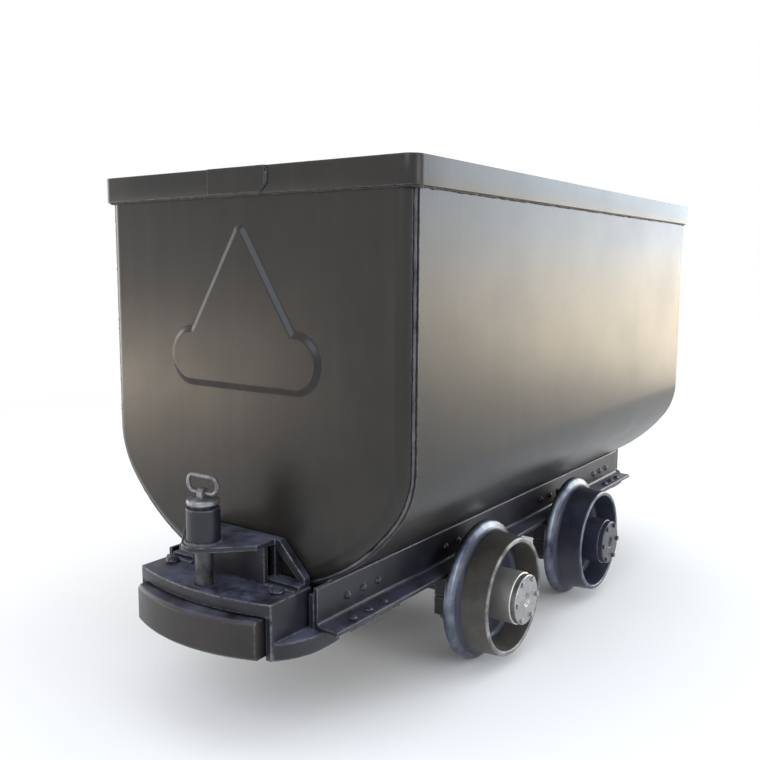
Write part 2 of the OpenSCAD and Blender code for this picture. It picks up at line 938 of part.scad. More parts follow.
module hub_cap() {
    ease = cap_t / 5;
    recess = hub_front - 2 * ease;
    color(bare_steel)
        difference() {
            rotate_extrude()
                polygon([[0, cap_back], [cap_r, cap_back], [cap_r, hub_front - ease],
                         [cap_r - ease, hub_front], [cap_recess_r, hub_front],
                         [cap_recess_r - ease, recess], [0, recess]]);
            cap_bolt_holes(hub_front + past);
        }
}

module cap_bolts() {
    color(bare_steel)
        for (i = [0 : cap_bolt_count - 1])
            rotate([0, 0, i * 360 / cap_bolt_count])
                translate([cap_bolt_ring, 0, 0]) {
                    translate([0, 0, cap_back - cap_t])
                        cylinder(r = cap_bolt_r, h = 2 * cap_t + past);
                    translate([0, 0, hub_front])
                        cylinder(r = cap_bolt_r * hex_r, h = cap_bolt_r * head_rise, $fn = 6);
                }
}

module front_left_wheel() { at_wheel(FRONT, LEFT) wheel(); }
module front_left_bearing_cups() { at_wheel(FRONT, LEFT) bearing_cups(); }
module front_left_hub_seal() { at_wheel(FRONT, LEFT) hub_seal(); }
module front_left_hub_cap() { at_wheel(FRONT, LEFT) hub_cap(); }
module front_left_cap_bolts() { at_wheel(FRONT, LEFT) cap_bolts(); }
module front_right_wheel() { at_wheel(FRONT, RIGHT) wheel(); }
module front_right_bearing_cups() { at_wheel(FRONT, RIGHT) bearing_cups(); }
module front_right_hub_seal() { at_wheel(FRONT, RIGHT) hub_seal(); }
module front_right_hub_cap() { at_wheel(FRONT, RIGHT) hub_cap(); }
module front_right_cap_bolts() { at_wheel(FRONT, RIGHT) cap_bolts(); }
module rear_left_wheel() { at_wheel(REAR, LEFT) wheel(); }
module rear_left_bearing_cups() { at_wheel(REAR, LEFT) bearing_cups(); }
module rear_left_hub_seal() { at_wheel(REAR, LEFT) hub_seal(); }
module rear_left_hub_cap() { at_wheel(REAR, LEFT) hub_cap(); }
module rear_left_cap_bolts() { at_wheel(REAR, LEFT) cap_bolts(); }
module rear_right_wheel() { at_wheel(REAR, RIGHT) wheel(); }
module rear_right_bearing_cups() { at_wheel(REAR, RIGHT) bearing_cups(); }
module rear_right_hub_seal() { at_wheel(REAR, RIGHT) hub_seal(); }
module rear_right_hub_cap() { at_wheel(REAR, RIGHT) hub_cap(); }
module rear_right_cap_bolts() { at_wheel(REAR, RIGHT) cap_bolts(); }

// A block between two distances past the tub's end plate, symmetric across the car
module block(from, to, half, low, high) {
    translate([from, -half, low])
        cube([to - from, 2 * half, high - low]);
}

// Plan of the casting's upper body: straight sides and an arched front
module deck_plan() {
    sag = deck_past - cheek_past;
    arc_r = (cheek_half * cheek_half + sag * sag) / (2 * sag);
    intersection() {
        translate([end_gap, -cheek_half])
            square([deck_past, 2 * cheek_half]);
        translate([deck_past - arc_r, 0])
            circle(r = arc_r, $fn = 192);
    }
}

// Plan of the casting's base: round front corners, and a tail between the sills
module base_plan() {
    corner_y = base_half - base_corner_r;
    back_r = base_half - web_in + tail_t;
    intersection() {
        union() {
            for (side = [-1, 1])
                translate([base_corner_past, side * corner_y])
                    circle(r = base_corner_r, $fn = 96);
            translate([base_corner_past - past, -corner_y])
                square([cheek_past, 2 * corner_y]);
        }
        translate([base_corner_past - past, -base_half])
            square([cheek_past - base_corner_past + past, 2 * base_half]);
    }
    translate([back_r - base_behind, -base_half])
        square([base_behind - back_r + base_corner_past, 2 * base_half]);
    for (side = [-1, 1])
        translate([back_r - base_behind, side * (base_half - back_r)])
            circle(r = back_r);
    translate([-tail_behind, -web_in])
        square([tail_behind + past, 2 * web_in]);
}

module bumper_casting() {
    color(frame_paint)
        difference() {
            union() {
                translate([0, 0, base_bottom])
                    linear_extrude(base_t)
                        base_plan();
                block(-tail_behind, ear_end, ear_half, base_top - ear_t, base_top);
                translate([0, 0, deck_under])
                    linear_extrude(deck_t)
                        deck_plan();
                for (side = [0, 1])
                    mirror([0, side, 0]) {
                        translate([end_gap, pocket_half, base_top - past])
                            cube([cheek_past - end_gap, cheek_t, deck_under - base_top + 2 * past]);
                        translate([guide_front - past, pocket_half, base_bottom])
                            cube([cheek_past - guide_front + past, cheek_t, base_t + past]);
                        translate([-tail_behind, web_in - tail_t, base_top - past])
                            cube([tail_behind + sill_past, tail_t - seat_gap, tail_top - base_top + past]);
                    }
                block(guide_back, guide_front, pocket_half + past, base_top - past, deck_under + past);
            }
            block(guide_front, cheek_past + past, pocket_half, base_bottom - past, deck_under);
            for (side = [-1, 1]) {
                translate([guide_back - past, side * stem_half, stem_z])
                    rotate([0, 90, 0])
                        cylinder(r = stem_r + run_gap, h = guide_t + 2 * past);
                translate([deck_bolt_past, side * deck_bolt_half, deck_under - past])
                    cylinder(r = deck_bolt_r + seat_gap, h = deck_t + 2 * past);
            }
            translate([pin_past, 0, deck_under - past])
                cylinder(r = pin_r + pin_gap, h = deck_t + 2 * past);
            translate([-end_x, 0, 0])
                for (side = [0, 1])
                    mirror([0, side, 0]) {
                        web_rivet_holes();
                        foot_rivet_holes();
                    }
        }
}

module buffer_head() {
    color(frame_paint) {
        intersection() {
            translate([buffer_reach - buffer_r, 0, 0])
                rotate_extrude($fn = 192)
                    polygon([[0, head_low], [buffer_r - buffer_edge, head_low],
                             [buffer_r, head_low + buffer_edge], [buffer_r, head_high - buffer_edge],
                             [buffer_r - buffer_edge, head_high], [0, head_high]]);
            block(head_back, buffer_reach + past, buffer_half, head_low - past, head_high + past);
        }
        for (side = [-1, 1])
            translate([stem_end, side * stem_half, stem_z])
                rotate([0, 90, 0])
                    cylinder(r = stem_r, h = head_back - stem_end + past);
    }
}

module stem_nuts() {
    color(dark_steel)
        for (side = [-1, 1])
            translate([guide_back - nut_gap - stem_nut_h, side * stem_half, stem_z])
                rotate([0, 90, 0])
                    difference() {
                        cylinder(r = stem_r * hex_r, h = stem_nut_h, $fn = 6);
                        translate([0, 0, -past])
                            cylinder(r = stem_r + seat_gap, h = stem_nut_h + 2 * past);
                    }
}

module buffer_rubber() {
    margin = head_gap * 2;
    low = head_low + margin;
    high = deck_under - margin;
    color(rubber_black)
        difference() {
            block(guide_front, head_back - nut_gap, pocket_half - margin, low, high);
            for (side = [-1, 1])
                translate([guide_front - past, side * stem_half, stem_z])
                    rotate([0, 90, 0])
                        cylinder(r = stem_r + pin_gap, h = rubber_t + 2 * past);
        }
}

// Plan of the bridge's top plate: straight sides that run into a round nose at 45 degrees
module nose_plan() {
    flank = nose_r / sqrt(2);
    corner = pin_past + 2 * flank - bridge_half;
    polygon([[end_gap, -bridge_half], [corner, -bridge_half], [pin_past + flank, -flank],
             [pin_past + flank, flank], [corner, bridge_half], [end_gap, bridge_half]]);
    translate([pin_past, 0])
        circle(r = nose_r);
}

// Bridge over the coupling mouth: nose plate, back plate, posts and legs that slope down to foot plates
module coupler_bridge() {
    sole_top = deck_top + sole_t;
    leg_in = bridge_t / 2;
    color(frame_paint)
        difference() {
            union() {
                translate([0, 0, bridge_under])
                    linear_extrude(bridge_t)
                        nose_plan();
                block(back_past - bridge_t, back_past, bridge_half, deck_top, bridge_under + past);
                for (side = [0, 1])
                    mirror([0, side, 0]) {
                        translate([end_gap, mouth_half, deck_top])
                            cube([gable_l, bridge_t, mouth_h + past]);
                        translate([end_gap, mouth_half, deck_top])
                            cube([sole_l, gable_half - mouth_half, sole_t]);
                        along_x(end_gap, gable_l)
                            polygon([[bridge_half - leg_in, bridge_top], [bridge_half + bridge_t, bridge_top],
                                     [gable_half, sole_top + bridge_t], [gable_half, sole_top - past],
                                     [gable_half - bridge_t, sole_top - past],
                                     [bridge_half - leg_in, bridge_under]]);
                    }
            }
            translate([pin_past, 0, bridge_under - past])
                cylinder(r = pin_r + pin_gap, h = bridge_t + 2 * past);
        }
}

module pin_guide() {
    color(frame_paint)
        translate([pin_past, 0, bridge_top])
            difference() {
                cylinder(r = tube_r, h = tube_h);
                translate([0, 0, -past])
                    cylinder(r = pin_r + run_gap, h = tube_h + 2 * past);
            }
}

module coupling_pin() {
    ease = pin_head_h / 4;
    tip = pin_r / 3;
    collar_r = (pin_r + pin_head_r) / 2;
    color(dark_steel)
        translate([pin_past, 0, 0]) {
            rotate_extrude()
                polygon([[0, pin_tip], [pin_r - tip, pin_tip], [pin_r, pin_tip + tip], [pin_r, collar_low],
                         [collar_r, collar_low], [collar_r, pin_head_low], [pin_head_r, pin_head_low],
                         [pin_head_r, pin_head_top - ease], [pin_head_r - ease, pin_head_top],
                         [0, pin_head_top]]);
            difference() {
                union() {
                    translate([-eye_r, -eye_half_w, pin_head_top - past])
                        cube([2 * eye_r, 2 * eye_half_w, eye_up + past]);
                    translate([0, -eye_half_w, eye_z])
                        rotate([-90, 0, 0])
                            cylinder(r = eye_r, h = 2 * eye_half_w);
                }
                translate([0, -eye_half_w - past, eye_z])
                    rotate([-90, 0, 0])
                        cylinder(r = ring_bar_r + run_gap, h = 2 * eye_half_w + 2 * past);
            }
        }
}

module pin_ring() {
    color(bare_steel)
        translate([pin_past, 0, eye_z]) {
            for (top = [0, 1])
                translate([0, -ring_half, top * 2 * ring_end_r])
                    rotate([-90, 0, 0])
                        cylinder(r = ring_bar_r, h = 2 * ring_half);
            for (side = [0, 1])
                mirror([0, side, 0])
                    translate([0, ring_half, ring_end_r])
                        rotate([90, 0, 90])
                            rotate([0, 0, -90])
                                rotate_extrude(angle = 180)
                                    translate([ring_end_r, 0])
                                        circle(r = ring_bar_r, $fn = 24);
        }
}

module deck_bolts() {
    dome = deck_bolt_r * hex_r;
    color(dark_steel)
        for (side = [-1, 1])
            translate([deck_bolt_past, side * deck_bolt_half, 0]) {
                translate([0, 0, deck_under])
                    cylinder(r = deck_bolt_r, h = deck_t + past);
                translate([0, 0, deck_top])
                    intersection() {
                        translate([0, 0, -dome / 4])
                            sphere(r = dome);
                        cylinder(r = dome, h = dome);
                    }
            }
}

module front_bumper_casting() { at_end(FRONT) bumper_casting(); }
module front_buffer_head() { at_end(FRONT) buffer_head(); }
module front_stem_nuts() { at_end(FRONT) stem_nuts(); }
module front_buffer_rubber() { at_end(FRONT) buffer_rubber(); }
module front_coupler_bridge() { at_end(FRONT) coupler_bridge(); }
module front_pin_guide() { at_end(FRONT) pin_guide(); }
module front_coupling_pin() { at_end(FRONT) coupling_pin(); }
module front_pin_ring() { at_end(FRONT) pin_ring(); }
module front_deck_bolts() { at_end(FRONT) deck_bolts(); }
module rear_bumper_casting() { at_end(REAR) bumper_casting(); }
module rear_buffer_head() { at_end(REAR) buffer_head(); }
module rear_stem_nuts() { at_end(REAR) stem_nuts(); }
module rear_buffer_rubber() { at_end(REAR) buffer_rubber(); }
module rear_coupler_bridge() { at_end(REAR) coupler_bridge(); }
module rear_pin_guide() { at_end(REAR) pin_guide(); }
module rear_coupling_pin() { at_end(REAR) coupling_pin(); }
module rear_pin_ring() { at_end(REAR) pin_ring(); }
module rear_deck_bolts() { at_end(REAR) deck_bolts(); }

trough_sheet();
front_end_plate();
rear_end_plate();
left_rim_band();
right_rim_band();
front_rim_splice();
rear_rim_splice();
left_sill();
right_sill();
front_saddle();
rear_saddle();
front_left_axle_seat();
front_right_axle_seat();
rear_left_axle_seat();
rear_right_axle_seat();
axle_keepers();
seat_bolts();
sill_rivets();
front_axle();
rear_axle();
bearing_cones();
axle_nuts();
front_left_wheel();
front_left_bearing_cups();
front_left_hub_seal();
front_left_hub_cap();
front_left_cap_bolts();
front_right_wheel();
front_right_bearing_cups();
front_right_hub_seal();
front_right_hub_cap();
front_right_cap_bolts();
rear_left_wheel();
rear_left_bearing_cups();
rear_left_hub_seal();
rear_left_hub_cap();
rear_left_cap_bolts();
rear_right_wheel();
rear_right_bearing_cups();
rear_right_hub_seal();
rear_right_hub_cap();
rear_right_cap_bolts();
front_bumper_casting();
front_buffer_head();
front_stem_nuts();
front_buffer_rubber();
front_coupler_bridge();
front_pin_guide();
front_coupling_pin();
front_pin_ring();
front_deck_bolts();
rear_bumper_casting();
rear_buffer_head();
rear_stem_nuts();
rear_buffer_rubber();
rear_coupler_bridge();
rear_pin_guide();
rear_coupling_pin();
rear_pin_ring();
rear_deck_bolts();
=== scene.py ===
import json
import math
from collections import Counter

import bmesh
import bpy
from bpy.props import FloatProperty, FloatVectorProperty, IntProperty, PointerProperty
from mathutils import Matrix, Vector, noise

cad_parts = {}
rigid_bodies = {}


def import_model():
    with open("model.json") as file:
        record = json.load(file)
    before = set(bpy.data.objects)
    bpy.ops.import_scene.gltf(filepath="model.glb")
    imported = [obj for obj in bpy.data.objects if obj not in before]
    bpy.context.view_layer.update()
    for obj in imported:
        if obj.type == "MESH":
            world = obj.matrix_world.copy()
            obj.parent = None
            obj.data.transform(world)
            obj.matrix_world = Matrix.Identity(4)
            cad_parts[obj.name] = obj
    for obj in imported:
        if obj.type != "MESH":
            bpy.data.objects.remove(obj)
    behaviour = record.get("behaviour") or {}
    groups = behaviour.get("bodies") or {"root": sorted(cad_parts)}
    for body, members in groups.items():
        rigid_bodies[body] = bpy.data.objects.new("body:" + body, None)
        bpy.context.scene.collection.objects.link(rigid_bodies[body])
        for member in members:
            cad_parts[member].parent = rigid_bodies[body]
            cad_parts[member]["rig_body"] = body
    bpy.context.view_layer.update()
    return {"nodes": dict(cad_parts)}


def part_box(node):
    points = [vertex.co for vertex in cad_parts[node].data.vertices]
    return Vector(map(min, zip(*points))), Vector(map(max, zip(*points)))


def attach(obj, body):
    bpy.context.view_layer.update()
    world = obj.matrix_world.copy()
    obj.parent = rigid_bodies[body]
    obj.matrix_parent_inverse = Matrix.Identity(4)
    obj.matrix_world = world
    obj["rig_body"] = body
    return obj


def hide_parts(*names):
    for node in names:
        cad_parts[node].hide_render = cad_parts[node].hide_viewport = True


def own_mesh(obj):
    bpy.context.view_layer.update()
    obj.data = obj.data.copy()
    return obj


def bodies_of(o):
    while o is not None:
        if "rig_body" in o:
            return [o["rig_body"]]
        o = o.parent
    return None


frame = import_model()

bl_info = {
    "name": "Mine Cart",
    "version": (1, 0, 0),
    "blender": (4, 5, 0),
    "location": "View3D > Sidebar > Mine Cart",
    "description": "Dresses the mine cart's frame with pressed, riveted, painted and worn pieces",
    "category": "Add Mesh",
}

# The front end is at -X and the left side at -Y.
ENDS = {"front": -1, "rear": 1}
SIDES = {"left": -1, "right": 1}
CAR = "car"
X_AXIS = Vector((1, 0, 0))
Y_AXIS = Vector((0, 1, 0))
Z_AXIS = Vector((0, 0, 1))
HALF_TURN = math.pi
QUARTER_TURN = math.pi / 2
# Points of one mesh that are merged, and places that count as the same.
MERGE = 1e-6
TOUCH = 1e-5
# Edges that bend more than this, in degrees, are shaded sharp on plates, on round forms and on weld beads.
PLATE_CREASE = 35.0
ROUND_CREASE = 50.0
BEAD_CREASE = 60.0
# Depth over the radius, and fineness, of a weld bead's ripples and of its uneven height.
BEAD_RIPPLE = (0.45, 260.0)
BEAD_WAVER = (0.40, 45.0)
# Faces of a copied solid that bend less than this, in degrees, become one.
FLAT_BEND = 0.5
# How much a face's area counts when flat faces are kept flat.
FLAT_WEIGHT = 60

TROUGH_LOW, TROUGH_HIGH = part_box("trough_sheet")
SEAM_X = TROUGH_HIGH.x
TUB_HALF = TROUGH_HIGH.y
RIM_TOP = TROUGH_HIGH.z
TUB_BOTTOM = TROUGH_LOW.z
INSIDE_TUB = Vector((0.0, 0.0, (RIM_TOP + TUB_BOTTOM) / 2))


def size(label, words, value):
    """A length in metres."""
    return FloatProperty(name=label, description=words, default=value, precision=4,
                         unit="LENGTH", subtype="DISTANCE")


def angle(label, words, degrees):
    """A turn, kept in radians."""
    return FloatProperty(name=label, description=words, default=math.radians(degrees),
                         unit="ROTATION", subtype="ANGLE")


def tint(label, words, value):
    """A plain colour."""
    return FloatVectorProperty(name=label, description=words, default=value, size=3,
                               min=0.0, max=1.0, subtype="COLOR")


class TubSettings(bpy.types.PropertyGroup):
    """Sizes of the tub's sheet, pressings, rim and weld beads."""

    bend_radius: size("Bend radius", "Radius of the bend between a side wall and the floor", 0.190)
    bend_turn: angle("Bend turn", "How far the sheet turns in each bend", math.degrees(math.asin(0.6)))
    edge_radius: size("End edge radius", "Radius of the rolled edge round an end plate", 0.034)
    lap_in: size("Lap set back", "From an end plate's face back to the end of the trough's sheet", 0.020)
    lap_length: size("Lap length", "How far an end plate's turned edge lies flat inside the trough", 0.030)
    seat_gap: size("Seat gap", "Gap between sheets that lie on each other", 0.0001)
    sheet: size("Sheet", "Thickness of the tub's sheet", 0.006)
    dent: size("Dents", "How far the sheet waves in and out", 0.0007)
    dent_fade: size("Dent fade", "Distance over which the waves fade out towards a seam or the rim", 0.12)
    rim_stiff: size("Stiff rim", "Depth of the sheet that the rim band keeps straight", 0.06)
    pressing_height: size("Pressing height", "How far an end plate's pressing stands out", 0.007)
    pressing_border: size("Pressing border", "Width of the pressing's soft border", 0.016)
    pressing_tip: size("Pressing tip", "Rounding of the pressing's point", 0.019)
    pressing_radius: size("Pressing end radius", "Radius of the pressing's round ends", 0.067)
    pressing_half: size("Pressing half width", "From the middle to the centre of a round end", 0.152)
    pressing_drop: size("Pressing drop", "From the rim down to the round ends' centres", 0.397)
    pressing_point_drop: size("Pressing point drop", "From the rim down to the pressing's point", 0.096)
    pressing_foot_half: size("Pressing foot half", "Half width of the pointed part at its foot", 0.170)
    band_thick: size("Rim band", "Thickness of the rim band", 0.008)
    bead: size("Bead", "Radius of the weld beads on the tub", 0.0032)


class UnderframeSettings(bpy.types.PropertyGroup):
    """Sizes of the sills, rivets and castings."""

    foot_thick: size("Foot", "Thickness of a sill's foot", 0.010)
    web_thick: size("Web", "Thickness of a sill's web", 0.009)
    root_fillet: size("Root fillet", "Fillet between a sill's foot and web", 0.009)
    sill_wave: size("Sill wave", "How far a rolled sill waves along its length", 0.0004)
    toe_round: size("Toe rounding", "Rounding of a sill's rolled toes", 0.0045)
    plate_round: size("Plate rounding", "Rounding of the edges of cut plates", 0.0015)
    cast_round: size("Casting rounding", "Rounding of the edges of castings", 0.0022)
    bolt_round: size("Bolt rounding", "Rounding of the edges of bolts and nuts", 0.0008)
    rivet_rise: size("Rivet rise", "Height of a rivet's domed head", 0.0065)
    rivet_shank: size("Rivet shank", "Radius of a rivet's shank", 0.007)
    bead: size("Bead", "Radius of the weld beads on the couplers", 0.0045)


class WheelSettings(bpy.types.PropertyGroup):
    """Sizes of the wheels and their hub caps."""

    tread_radius: size("Tread radius", "Radius of the tread next to the flange", 0.150)
    tread_fall: size("Tread fall", "How much the tread's radius falls to the front", 0.005)
    flange_width: size("Flange width", "Width of the flange at its foot", 0.027)
    width: size("Width", "Width of the rim", 0.102)
    neck: size("Hub neck", "How far the hub stands behind the rim", 0.013)
    neck_radius: size("Hub neck radius", "Radius of the hub behind the disc", 0.059)
    seal_radius: size("Seal radius", "Radius of the seal's bore", 0.047)
    nut_radius: size("Nut bore radius", "Radius of the bore in front of the nut", 0.046)
    disc_in: size("Disc set back", "From the rim's back face to the disc", 0.016)
    disc_thick: size("Disc", "Thickness of the disc", 0.018)
    rim_wall: size("Rim wall", "Thickness of the rim at its front", 0.012)
    rim_draft: size("Rim draft", "How far the rim thickens towards the disc", 0.012)
    hub_radius: size("Hub radius", "Radius of the hub in front of the disc", 0.064)
    cap_recess: size("Cap recess radius", "Radius of the round recess in a hub cap", 0.016)
    turns: IntProperty(name="Steps", description="Steps round a wheel", default=96, min=24)


class CouplerSettings(bpy.types.PropertyGroup):
    """Sizes of the coupling pins, their rings and the buffer rubbers."""

    pin_radius: size("Pin radius", "Radius of a coupling pin", 0.019)
    head_radius: size("Pin head radius", "Radius of a pin's head", 0.034)
    head_height: size("Pin head height", "Height of a pin's head", 0.015)
    collar: size("Collar", "Height of the collar under a pin's head", 0.007)
    eye_rise: size("Eye rise", "From the head's top to the eye's centre", 0.008)
    eye_radius: size("Eye radius", "Outer radius of the eye", 0.0108)
    eye_half: size("Eye half width", "Half width of the eye", 0.008)
    ring_bar: size("Ring bar", "Radius of the ring's bar", 0.0045)
    ring_half: size("Ring half", "Half length of the ring's straight runs", 0.025)
    rubber_round: size("Rubber rounding", "Rounding of the rubber's edges", 0.004)
    rubber_bulge: size("Rubber bulge", "How far the rubber's free faces swell", 0.0025)
    guide_gap: size("Guide gap", "Gap between a pin and its guide tube", 0.0003)


class FinishSettings(bpy.types.PropertyGroup):
    """Colours of the enamels, films, dust and metals, and of the painted light: sky sheen, down-slope shade,
    pale weld highlights and the sky and ground tints of flanges and treads.
    """

    tub_black: tint("Tub black", "The tub's enamel", (0.0055, 0.0055, 0.0060))
    tub_brown: tint("Tub film", "The thin brown film on the tub's enamel", (0.0125, 0.0110, 0.0090))
    # Pale grey of the seam and splice beads and of the bright welds: partly paint rubbed thin, partly a
    # painted highlight where they catch the light.
    rubbed_and_highlight_grey: tint("Rubbed enamel", "Enamel rubbed thin along proud edges", (0.090, 0.090, 0.100))
    # Painted shade: a darker, rougher brown for the pressings' slopes that look down, standing in for the
    # shade under them.
    down_slope_shade: tint("Grime", "Old grime on faces that look down", (0.014, 0.010, 0.008))
    frame_black: tint("Frame black", "The underframe's enamel", (0.0080, 0.0080, 0.0115))
    frame_grey: tint("Frame film", "The worn film on the underframe's enamel", (0.018, 0.018, 0.025))
    # Painted sky sheen: a pale blue-grey laid on the underframe's level faces, and a little on its low parts,
    # standing in for the sky's reflection.
    painted_sky_sheen: tint("Haze", "Blue-grey haze on level faces of the underframe", (0.170, 0.185, 0.290))
    head_black: tint("Head black", "The buffer heads' enamel", (0.0100, 0.0085, 0.0080))
    head_brown: tint("Head film", "The brown film on the buffer heads", (0.023, 0.018, 0.015))
    wheel_black: tint("Wheel black", "The wheels' enamel", (0.011, 0.014, 0.030))
    wheel_grey: tint("Wheel film", "The worn film on the wheels' enamel", (0.026, 0.031, 0.056))
    tread_dark: tint("Tread", "Rolled-down skin of the treads", (0.036, 0.034, 0.031))
    # The treads' pale brown film is partly dry dust and partly a painted reflection of the brown ground.
    tread_film_and_ground_tint: tint("Tread film", "Dry film on the treads", (0.076, 0.070, 0.060))
    # The flanges' blue cast is a painted reflection of the sky over rail-worn steel.
    flange_sky_tint: tint("Flange steel", "Steel of the flanges", (0.175, 0.198, 0.245))
    dust: tint("Dust", "Dry dust on level and low places", (0.190, 0.155, 0.115))
    worn_steel: tint("Worn steel", "Steel where the paint has rubbed off", (0.300, 0.300, 0.310))
    bare_steel: tint("Bare steel", "Ground steel", (0.560, 0.550, 0.530))
    hub_grey: tint("Hub steel", "Turned steel of the hubs", (0.640, 0.630, 0.610))
    hub_dark: tint("Hub film", "Dull patches on the hubs", (0.400, 0.390, 0.375))
    cap_grey: tint("Cap steel", "Steel of the bare hub caps", (0.300, 0.300, 0.310))
    dull_steel: tint("Dull steel", "Steel with a dark skin", (0.110, 0.110, 0.115))
    rubber: tint("Rubber", "The buffers' rubber", (0.014, 0.014, 0.014))


class StageSettings(bpy.types.PropertyGroup):
    """The camera, the floor and the even light."""

    camera_place: FloatVectorProperty(name="Camera", description="Where the camera stands", size=3,
                                      default=(-2.11189, -1.29255, 0.97178), unit="LENGTH", subtype="XYZ")
    camera_yaw: angle("Yaw", "Camera's heading from +X towards +Y", 35.64)
    camera_pitch: angle("Pitch", "Camera's tilt, down is less than nothing", -7.422)
    camera_roll: angle("Roll", "Camera's lean", 0.323)
    focal_share: FloatProperty(name="Focal length", description="Focal length over the image's width",
                               default=860.06 / 760.0, min=0.1)
    floor_half: size("Floor", "Half of the floor's width", 30.0)
    floor_tint: tint("Floor", "The floor's pale colour", (0.95, 0.95, 0.95))
    floor_near: size("Near floor", "Out to here the floor shows its shading in full", 1.2)
    floor_far: size("Far floor", "From here on the floor is as white as the backdrop", 5.0)
    sky_level: FloatProperty(name="Sky", description="Strength of the even light from all round",
                             default=0.88, min=0.0)


def corner(co, rounding=0.0, steps=3):
    """One corner of an outline: its place, its rounding and the steps of the rounding."""
    return Vector(co), rounding, steps


def round_corners(bm, made):
    """Round the corners of an outline that ask for it."""
    for vert, (co, rounding, steps) in made:
        if rounding > 0.0:
            bmesh.ops.bevel(bm, geom=[vert], offset=rounding, offset_type="OFFSET", segments=steps,
                            profile=0.5, affect="VERTICES", material=-1)


def outline_face(bm, corners):
    """Fill an outline of corners with one face, and round it."""
    made = [(bm.verts.new(c[0]), c) for c in corners]
    bm.faces.new([vert for vert, c in made])
    round_corners(bm, made)
    bm.faces.ensure_lookup_table()
    return bm.faces[-1]


def outline_wire(bm, corners):
    """Join corners by a chain of edges, and round it."""
    made = [(bm.verts.new(c[0]), c) for c in corners]
    for (one, c), (other, d) in zip(made, made[1:]):
        bm.edges.new((one, other))
    round_corners(bm, made)


def sweep(bm, geom, moves):
    """Carry geometry along lines (travel, steps) and turns (centre, axis, angle, steps), leaving a skin."""
    for kind, first, *rest in moves:
        if kind == "line":
            steps = rest[0]
            made = bmesh.ops.spin(bm, geom=geom, cent=(0, 0, 0), axis=Z_AXIS, dvec=Vector(first) / steps,
                                  angle=0.0, steps=steps, use_merge=False)
        else:
            axis, turned, steps = rest
            made = bmesh.ops.spin(bm, geom=geom, cent=first, axis=axis, angle=turned, steps=steps,
                                  use_merge=False)
        geom = made["geom_last"]
    return geom


def whole(bm):
    """All vertices, edges and faces."""
    return bm.verts[:] + bm.edges[:] + bm.faces[:]


def close_up(bm):
    """Merge doubles, fill open ends and turn the faces outwards."""
    bmesh.ops.remove_doubles(bm, verts=bm.verts[:], dist=MERGE)
    rims = [edge for edge in bm.edges if edge.is_boundary]
    if rims:
        bmesh.ops.holes_fill(bm, edges=rims, sides=0)
    bmesh.ops.recalc_face_normals(bm, faces=bm.faces[:])


def point_outwards(bm, inside):
    """Turn an open skin's faces away from a point inside it."""
    bmesh.ops.recalc_face_normals(bm, faces=bm.faces[:])
    facing = sum(face.calc_area() * face.normal.dot(face.calc_center_median() - inside) for face in bm.faces)
    if facing < 0.0:
        bmesh.ops.reverse_faces(bm, faces=bm.faces[:])


def spun_ring(corners, centre, axis, steps):
    """Spin a closed outline of corners about an axis through a centre."""
    bm = bmesh.new()
    filled = outline_face(bm, corners)
    bmesh.ops.delete(bm, geom=[filled], context="FACES_ONLY")
    bmesh.ops.spin(bm, geom=bm.verts[:] + bm.edges[:], cent=centre, axis=axis, angle=2 * HALF_TURN,
                   steps=steps, use_merge=True)
    close_up(bm)
    return bm


def turned(corners, steps, place, axis):
    """Turn an open outline of (radius, height, rounding, steps) corners about an axis through a place."""
    bm = bmesh.new()
    outline_wire(bm, [corner((c[0], 0.0, c[1]), *c[2:]) for c in corners])
    bmesh.ops.spin(bm, geom=bm.verts[:] + bm.edges[:], cent=(0, 0, 0), axis=Z_AXIS,
                   angle=2 * HALF_TURN, steps=steps, use_merge=True)
    close_up(bm)
    bmesh.ops.rotate(bm, verts=bm.verts[:], matrix=Z_AXIS.rotation_difference(axis).to_matrix())
    bmesh.ops.translate(bm, verts=bm.verts[:], vec=place)
    return bm


def join(bm, other):
    """Add another mesh to this one."""
    spare = bpy.data.meshes.new("spare")
    other.to_mesh(spare)
    other.free()
    bm.from_mesh(spare)
    bpy.data.meshes.remove(spare)


def roughen(bm, verts, reach, scale, seed):
    """Push vertices in and out a little along their normals."""
    bm.normal_update()
    for vert in verts:
        lift = noise.noise(vert.co * scale + Vector((seed, 2.0 * seed, 3.0 * seed)))
        vert.co += vert.normal * lift * reach


def bead(start, heading, moves, radius, seed):
    """Lay a weld bead with its ripples along a way."""
    bm = bmesh.new()
    ring = bmesh.ops.create_circle(bm, cap_ends=False, segments=8, radius=radius)["verts"]
    bmesh.ops.rotate(bm, verts=ring, matrix=Z_AXIS.rotation_difference(heading).to_matrix())
    bmesh.ops.translate(bm, verts=ring, vec=start)
    sweep(bm, bm.verts[:] + bm.edges[:], moves)
    close_up(bm)
    for depth, fineness in (BEAD_RIPPLE, BEAD_WAVER):
        roughen(bm, bm.verts, radius * depth, fineness, seed)
    return bm


def eased_copy(node, rounding):
    """Copy a CAD node with its sharp edges rounded."""
    bm = bmesh.new()
    bm.from_mesh(frame["nodes"][node].data)
    bmesh.ops.remove_doubles(bm, verts=bm.verts[:], dist=TOUCH)
    bmesh.ops.dissolve_limit(bm, angle_limit=math.radians(FLAT_BEND), verts=bm.verts[:], edges=bm.edges[:])
    least = math.radians(PLATE_CREASE)
    keen = [edge for edge in bm.edges
            if edge.is_manifold and abs(edge.calc_face_angle_signed(0.0)) > least]
    bmesh.ops.bevel(bm, geom=keen, offset=rounding, offset_type="OFFSET", segments=2, profile=0.5,
                    affect="EDGES", clamp_overlap=False, material=-1)
    return bm


